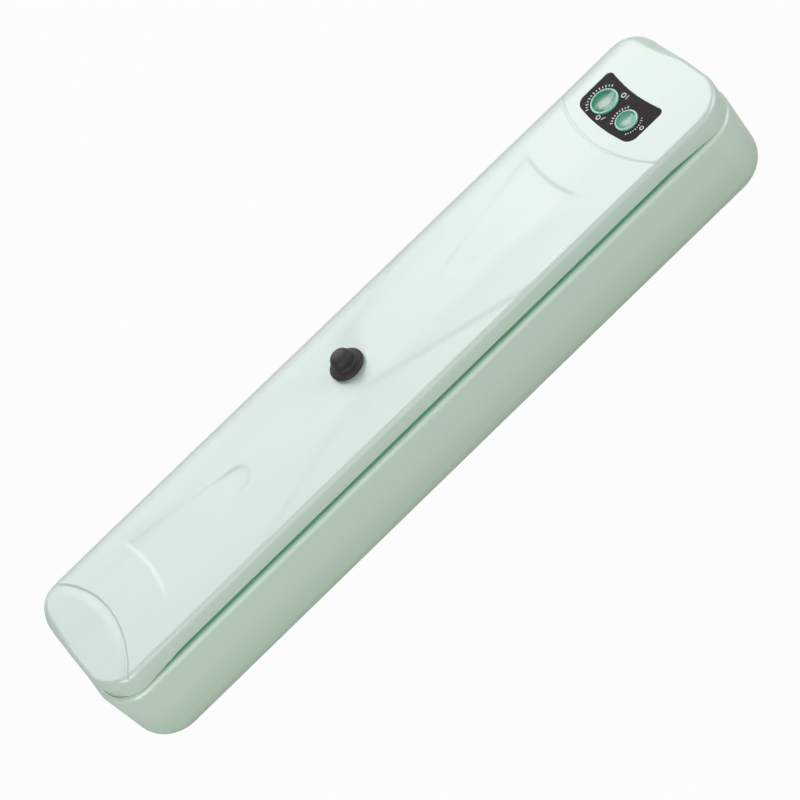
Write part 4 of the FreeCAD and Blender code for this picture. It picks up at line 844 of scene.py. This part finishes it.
def keyFinish(name, k, look):
    # clear green plastic over a pale frosted core, with painted shade where the dish's wall is deep and a
    # painted highlight ring at the rim
    material, tree = newMaterial(name)
    shader = tree.nodes["Principled BSDF"]
    place = addNode(tree, "ShaderNodeTexCoord")
    centre = addNode(tree, "ShaderNodeMapping", vector_type="TEXTURE")
    centre.inputs["Location"].default_value = (k["x"] * mm, k["y"] * mm, 0.0)
    size = k["radius"] * mm
    centre.inputs["Scale"].default_value = (size, size, 1000.0)  # height plays no part
    frost = addNode(tree, "ShaderNodeTexNoise")
    frost.inputs["Scale"].default_value = look["frostSize"]
    frost.inputs["Detail"].default_value = look["frostDetail"]
    away = addNode(tree, "ShaderNodeVectorMath", operation="LENGTH")
    shift = addNode(tree, "ShaderNodeMath", operation="MULTIPLY_ADD")
    shift.inputs[1].default_value = look["frostShift"]
    ramp = addNode(tree, "ShaderNodeValToRGB")
    while len(ramp.color_ramp.elements) < len(k["tonesWithPaintedLight"]):
        ramp.color_ramp.elements.new(0.5)
    for element, (at, colour) in zip(ramp.color_ramp.elements, k["tonesWithPaintedLight"]):
        element.position = at
        element.color = (*colour, 1.0)
    gloss = addNode(tree, "ShaderNodeMapRange")
    for end, at in (("Min", "middle"), ("Max", "rim")):
        gloss.inputs["From " + end].default_value = look[at][0]
        gloss.inputs["To " + end].default_value = look[at][1]
    join = tree.links.new
    join(place.outputs["Object"], centre.inputs["Vector"])
    join(place.outputs["Object"], frost.inputs["Vector"])
    join(centre.outputs["Vector"], away.inputs[0])
    join(frost.outputs["Fac"], shift.inputs[0])
    join(away.outputs["Value"], shift.inputs[2])
    join(shift.outputs["Value"], ramp.inputs["Fac"])
    join(ramp.outputs["Color"], shader.inputs["Base Color"])
    join(away.outputs["Value"], gloss.inputs["Value"])
    join(gloss.outputs["Result"], shader.inputs["Roughness"])
    shader.inputs["Coat Weight"].default_value = look["coat"]
    shader.inputs["Coat Roughness"].default_value = look["coatRough"]
    return material


def makeKey(name, k, s):
    rim, top = k["radius"], s["top"]
    bowl = rim - s["lip"]
    profile = [
        (0.0, s["low"]), (rim + s["flange"], s["low"]), (rim + s["flange"], s["flangeTop"]),
        (rim, s["flangeTop"]), (rim, top),
    ]
    for i in range(s["steps"] + 1):
        part = 1.0 - i / s["steps"]
        profile.append((bowl * part, top - s["dish"] * (1.0 - part ** s["dishPower"])))
    key = turned(name, k["x"], k["y"], profile)
    bevelEdges(key, s["edge"], 3, 24)
    smooth(key, 30)
    dress(key, keyFinish(name + "Green", k, keyLook))
    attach(key, k["body"])
    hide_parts(k["node"])


feet = {
    "places": ((-140.0, -23.0), (140.0, -23.0), (-140.0, 23.0), (140.0, 23.0)),
    "profile": [
        (0.0, 3.0), (7.0, 3.0), (7.0, 0.7), (6.4, 0.0), (4.7, 0.0), (4.3, 0.45), (1.2, 0.5), (0.0, 0.3),
    ],
    "edge": 0.2, "steps": 48,
}


def makeFeet(f):
    pads = [turned("foot", x, y, f["profile"], f["steps"]) for x, y in f["places"]]
    rubber = joined("rubberFeet", pads)
    bevelEdges(rubber, f["edge"], 2, 30)
    smooth(rubber, 35)
    dress(rubber, finish["rubberBlack"])
    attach(rubber, "base")
    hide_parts("rubber_feet")


makePlug(plug)
for keyName, key in keys.items():
    makeKey(keyName, key, keyShape)
makeFeet(feet)
print("plug, keys and feet turned")


# plain printed marks on the panel: ticks round the keys and three small rings

marks = {
    "thick": 0.04, "shortTick": 0.66, "dashWide": 0.4, "ringWall": 0.38, "ringSides": 28,
    "arcs": [
        {"key": "vacuumKey", "radius": 8.5, "from": 28.0, "to": 152.0, "count": 13, "size": (1.35, 0.5)},
        {"key": "sealKey", "radius": 7.1, "from": 46.0, "to": 134.0, "count": 9, "size": (1.25, 0.5)},
        {"key": "sealKey", "radius": 7.1, "from": 228.0, "to": 312.0, "count": 10, "size": (0.8, 0.4)},
    ],
    "rings": [(151.3, 3.4, 1.25), (137.2, 4.6, 1.2), (144.9, -18.0, 1.05)],
    "dashes": [((150.4, 0.9), (152.6, 1.1)), ((137.2, 2.4), (139.2, 1.6))],
}


def panelTop(y):
    return panel["top"] - y * y / (2.0 * lid["crown"])


def tick(x, y, long, wide, turn):
    deselectAll()
    bpy.ops.mesh.primitive_plane_add(
        size=1.0, location=(x * mm, y * mm, panelTop(y) * mm), rotation=(0.0, 0.0, turn),
    )
    obj = named("tick")
    obj.scale = (long * mm, wide * mm, 1.0)
    return raiseFaces(settle(obj), marks["thick"])


def ring(x, y, radius):
    deselectAll()
    bpy.ops.mesh.primitive_circle_add(
        vertices=marks["ringSides"], radius=radius * mm, fill_type="NGON",
        location=(x * mm, y * mm, panelTop(y) * mm),
    )
    obj = settle(named("ring"))
    bpy.ops.object.mode_set(mode="EDIT")
    bpy.ops.mesh.select_all(action="SELECT")
    bpy.ops.mesh.inset(thickness=radius * marks["ringWall"] * mm)
    bpy.ops.mesh.delete(type="FACE")
    leaveEdit()
    return raiseFaces(obj, marks["thick"])


def makeMarks(m):
    prints = []
    for a in m["arcs"]:
        k = keys[a["key"]]
        long, wide = a["size"]
        for i in range(a["count"]):
            turn = math.radians(a["from"] + (a["to"] - a["from"]) * i / (a["count"] - 1))
            x = k["x"] + a["radius"] * math.cos(turn)
            y = k["y"] + a["radius"] * math.sin(turn)
            prints.append(tick(x, y, long * (1.0 if i % 2 == 0 else m["shortTick"]), wide, turn))
    for x, y, radius in m["rings"]:
        prints.append(ring(x, y, radius))
    for (x0, y0), (x1, y1) in m["dashes"]:
        long, turn = math.hypot(x1 - x0, y1 - y0), math.atan2(y1 - y0, x1 - x0)
        prints.append(tick((x0 + x1) / 2.0, (y0 + y1) / 2.0, long, m["dashWide"], turn))
    print("panel marks:", len(prints))
    white = joined("panelMarks", prints)
    dress(white, finish["markWhite"])
    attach(white, "lid")


makeMarks(marks)


# soft pieces: two foam seals, the silicone pressure bar and the glass cloth tape over the heater

seals = {
    "lowerSeal": {"low": 38.2, "high": 41.45, "crownUp": True, "body": "base", "node": "lower_gasket"},
    "upperSeal": {"low": 41.75, "high": 44.6, "crownUp": False, "body": "lid", "node": "upper_gasket"},
}
sealPath = {
    "x": (-149.0, 124.0), "y": (-14.5, 22.5), "corner": 6.5, "half": 2.5, "cornerSteps": 12, "pull": 6.0,
}
section = {"points": 32, "crowned": 0.75, "square": 0.3}  # how full the two sides of a section are
pressBar = {
    "x": (-155.5, 130.5), "y": -27.0, "half": 4.0, "low": 41.75, "high": 44.0,
    "pulls": 48, "cap": 0.5, "capScale": (1.0, 0.9, 0.8),
}
tape = {
    "x": (-159.5, 134.5), "y": (-34.0, -20.0), "ribbonY": -27.0, "ribbonHalf": 1.7,
    "top": 41.37, "edge": 41.28, "slope": 2.4, "waver": (0.012, 0.21), "thick": 0.06,
    "columns": 147, "rows": 28,
}
tapeLook = {
    "tone": (0.36, 0.24, 0.12), "toneTwo": (0.52, 0.38, 0.22), "rough": 0.42, "threadSize": 520.0,
    "threadWaver": 0.6, "threadShare": 0.5, "wearSize": 55.0, "bump": 0.5, "bumpDepth": 0.00006,
}


def crownedLoop(name, x, y, half, low, high, crownUp):
    # the outline of a foam section, square on one side and crowned on the other
    deselectAll()
    bpy.ops.mesh.primitive_circle_add(vertices=section["points"], radius=mm)
    loop = named(name)
    middle = (low + high) / 2.0
    for i, v in enumerate(loop.data.vertices):
        turn = 2.0 * math.pi * i / section["points"]
        c, s = math.cos(turn), math.sin(turn)
        power = section["crowned" if (s > 0.0) == crownUp else "square"]
        across = half * math.copysign(abs(c) ** power, c)
        up = (high - low) / 2.0 * math.copysign(abs(s) ** power, s)
        v.co = Vector((x, y + across, middle + up)) * mm
    return loop


def makeSeal(name, s, p):
    x0, x1 = p["x"]
    y0, y1 = p["y"]
    r = p["corner"]
    seal = crownedLoop(name, x0 + r, y0, p["half"], s["low"], s["high"], s["crownUp"])
    runX, runY = x1 - x0 - 2.0 * r, y1 - y0 - 2.0 * r
    runs = [
        ((runX, 0.0), (x1 - r, y0 + r)), ((0.0, runY), (x1 - r, y1 - r)),
        ((-runX, 0.0), (x0 + r, y1 - r)), ((0.0, -runY), (x0 + r, y0 + r)),
    ]
    editAll(seal)
    for (dx, dy), (cx, cy) in runs:
        pulls = max(1, round(math.hypot(dx, dy) / p["pull"]))
        for i in range(pulls):
            step = (dx / pulls * mm, dy / pulls * mm, 0.0)
            bpy.ops.mesh.extrude_edges_move(TRANSFORM_OT_translate={"value": step})
        bpy.ops.mesh.spin(  # a negative angle turns it to the left
            steps=p["cornerSteps"], angle=-math.pi / 2.0,
            center=(cx * mm, cy * mm, 0.0), axis=(0.0, 0.0, 1.0),
        )
    facesOut(mergeWithin=0.01)
    smooth(seal, 50)
    dress(seal, finish["foamGrey"])
    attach(seal, s["body"])
    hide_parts(s["node"])


def makePressBar(b):
    cap = b["cap"]
    x0, x1 = b["x"][0] + cap, b["x"][1] - cap
    bar = crownedLoop("pressBar", x0, b["y"], b["half"], b["low"], b["high"], False)
    editAll(bar)
    step = (x1 - x0) / b["pulls"] * mm
    for i in range(b["pulls"]):
        bpy.ops.mesh.extrude_edges_move(TRANSFORM_OT_translate={"value": (step, 0.0, 0.0)})
    middle = (b["low"] + b["high"]) / 2.0
    leaveEdit()
    for end, s in ((x0, -1), (x1, 1)):  # both ends drawn in and closed
        pickEdges(bar, lambda p, end=end: abs(p.x / mm - end) < 0.01)
        bpy.ops.mesh.extrude_edges_move(TRANSFORM_OT_translate={"value": (s * cap * mm, 0.0, 0.0)})
        bpy.ops.transform.resize(
            value=b["capScale"], center_override=((end + s * cap) * mm, b["y"] * mm, middle * mm),
        )
        bpy.ops.mesh.edge_face_add()
        leaveEdit()
    editAll(bar)
    facesOut()
    smooth(bar, 50)
    dress(bar, finish["siliconeWhite"])
    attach(bar, "lid")
    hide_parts("pressure_strip")


def weaveFinish(name, look):
    # coated glass cloth: two sets of threads crossing, pressed flat over the ribbon
    material, tree = newMaterial(name)
    shader = tree.nodes["Principled BSDF"]
    place = addNode(tree, "ShaderNodeTexCoord")
    warp = addNode(tree, "ShaderNodeTexWave", wave_type="BANDS", bands_direction="X")
    weft = addNode(tree, "ShaderNodeTexWave", wave_type="BANDS", bands_direction="Y")
    for threads in (warp, weft):
        threads.inputs["Scale"].default_value = look["threadSize"]
        threads.inputs["Distortion"].default_value = look["threadWaver"]
    cloth = addNode(tree, "ShaderNodeMath", operation="MULTIPLY")
    worn = addNode(tree, "ShaderNodeTexNoise")
    worn.inputs["Scale"].default_value = look["wearSize"]
    tone = addNode(tree, "ShaderNodeMix", data_type="RGBA")
    tone.inputs["A"].default_value = (*look["tone"], 1.0)
    tone.inputs["B"].default_value = (*look["toneTwo"], 1.0)
    blendTone = addNode(tree, "ShaderNodeMath", operation="MULTIPLY_ADD")
    blendTone.inputs[1].default_value = look["threadShare"]
    bump = addNode(tree, "ShaderNodeBump")
    bump.inputs["Strength"].default_value = look["bump"]
    bump.inputs["Distance"].default_value = look["bumpDepth"]
    join = tree.links.new
    for texture in (warp, weft, worn):
        join(place.outputs["Object"], texture.inputs["Vector"])
    join(warp.outputs["Fac"], cloth.inputs[0])
    join(weft.outputs["Fac"], cloth.inputs[1])
    join(cloth.outputs["Value"], blendTone.inputs[0])
    join(worn.outputs["Fac"], blendTone.inputs[2])
    join(blendTone.outputs["Value"], tone.inputs["Factor"])
    join(tone.outputs["Result"], shader.inputs["Base Color"])
    join(cloth.outputs["Value"], bump.inputs["Height"])
    join(bump.outputs["Normal"], shader.inputs["Normal"])
    shader.inputs["Roughness"].default_value = look["rough"]
    return material


def makeTape(t):
    x0, x1 = t["x"]
    y0, y1 = t["y"]
    deselectAll()
    bpy.ops.mesh.primitive_grid_add(x_subdivisions=t["columns"], y_subdivisions=t["rows"], size=1.0)
    cloth = named("glassTape")
    height, pace = t["waver"]
    for v in cloth.data.vertices:
        x = x0 + (x1 - x0) * (v.co.x + 0.5)
        y = y0 + (y1 - y0) * (v.co.y + 0.5)
        off = ease((abs(y - t["ribbonY"]) - t["ribbonHalf"]) / t["slope"])
        rest = t["top"] - (t["top"] - t["edge"]) * off
        rest += height * math.sin(x * pace) * off  # the free edges lie a little uneven
        v.co = Vector((x, y, rest)) * mm
    useModifier(cloth, "SOLIDIFY", thickness=t["thick"] * mm, offset=1.0)
    smooth(cloth, 60)
    dress(cloth, weaveFinish("glassWeave", tapeLook))
    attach(cloth, "base")
    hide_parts("heater_tape")


for sealName, seal in seals.items():
    makeSeal(sealName, seal, sealPath)
makePressBar(pressBar)
makeTape(tape)
print("soft pieces made")


# floor, light and backdrop

stage = {"size": 6.0, "tone": 0.25, "glow": 0.97, "inGloss": 0.6}


def seenDirectly(tree):
    # 1 for rays that show the backdrop to the camera or through clear plastic, a share of it in gloss
    path = addNode(tree, "ShaderNodeLightPath")
    gloss = addNode(tree, "ShaderNodeMath", operation="MULTIPLY")
    gloss.inputs[1].default_value = stage["inGloss"]
    seen = addNode(tree, "ShaderNodeMath", operation="MAXIMUM")
    either = addNode(tree, "ShaderNodeMath", operation="MAXIMUM")
    join = tree.links.new
    join(path.outputs["Is Glossy Ray"], gloss.inputs[0])
    join(path.outputs["Is Camera Ray"], seen.inputs[0])
    join(gloss.outputs["Value"], seen.inputs[1])
    join(seen.outputs["Value"], either.inputs[0])
    join(path.outputs["Is Transmission Ray"], either.inputs[1])
    return either.outputs["Value"]


def makeStage(s):
    # a pale floor that mostly glows by itself where it is seen, and still takes a faint shadow
    deselectAll()
    bpy.ops.mesh.primitive_plane_add(size=s["size"], location=(0.0, 0.0, 0.0))
    floor = named("floor")
    material, tree = newMaterial("paleFloor")
    tree.nodes.remove(tree.nodes["Principled BSDF"])
    matte = addNode(tree, "ShaderNodeBsdfDiffuse")
    matte.inputs["Color"].default_value = (s["tone"], s["tone"], s["tone"], 1.0)
    glow = addNode(tree, "ShaderNodeEmission")
    share = addNode(tree, "ShaderNodeMath", operation="MULTIPLY")
    share.inputs[1].default_value = s["glow"]
    mix = addNode(tree, "ShaderNodeMixShader")
    join = tree.links.new
    join(seenDirectly(tree), share.inputs[0])
    join(share.outputs["Value"], mix.inputs["Fac"])
    join(matte.outputs["BSDF"], mix.inputs[1])
    join(glow.outputs["Emission"], mix.inputs[2])
    join(mix.outputs["Shader"], tree.nodes["Material Output"].inputs["Surface"])
    floor.data.materials.append(material)


roomLevel = 0.05
lights = {
    "behind": {"place": (0.1, 1.3, 1.25), "size": (1.6, 0.8), "power": 13.6},
    "behindRight": {"place": (0.7, 1.2, 1.2), "size": (1.2, 0.9), "power": 4.6},
    "behindLow": {"place": (0.0, 1.8, 0.5), "size": (1.6, 0.5), "power": 5.5},
    "frontHigh": {"place": (-0.3, -0.9, 1.5), "size": (1.2, 0.9), "power": 4.0},
    "front": {"place": (0.0, -1.6, 0.95), "size": (1.4, 0.9), "power": 3.0},
    "frontLeft": {"place": (-1.1, -1.4, 0.6), "size": (1.0, 0.8), "power": 17.0},
    "rightSide": {"place": (1.65, -0.45, 0.7), "size": (1.2, 1.0), "power": 11.5},
    "rightLow": {"place": (1.75, -0.7, 0.35), "size": (0.8, 0.5), "power": 4.0},
}


def softbox(name, s):
    light = bpy.data.lights.new(name, "AREA")
    light.shape = "RECTANGLE"
    light.size, light.size_y = s["size"]
    light.energy = s["power"]
    obj = bpy.data.objects.new(name, light)
    bpy.context.scene.collection.objects.link(obj)
    obj.location = s["place"]
    obj.rotation_euler = (-Vector(s["place"])).to_track_quat("-Z", "Y").to_euler()


def makeLight(boxes):
    world = bpy.data.worlds.new("paleRoom")
    world.use_nodes = True
    bpy.context.scene.world = world
    tree = world.node_tree
    room = tree.nodes["Background"]
    room.inputs["Color"].default_value = (1.0, 1.0, 1.0, 1.0)
    level = addNode(tree, "ShaderNodeMapRange")
    level.inputs["To Min"].default_value = roomLevel
    level.inputs["To Max"].default_value = 1.0
    tree.links.new(seenDirectly(tree), level.inputs["Value"])
    tree.links.new(level.outputs["Result"], room.inputs["Strength"])
    for name, box in boxes.items():
        softbox(name, box)


makeStage(stage)
makeLight(lights)
bpy.context.scene.view_settings.view_transform = "Standard"
print("stage and light set")
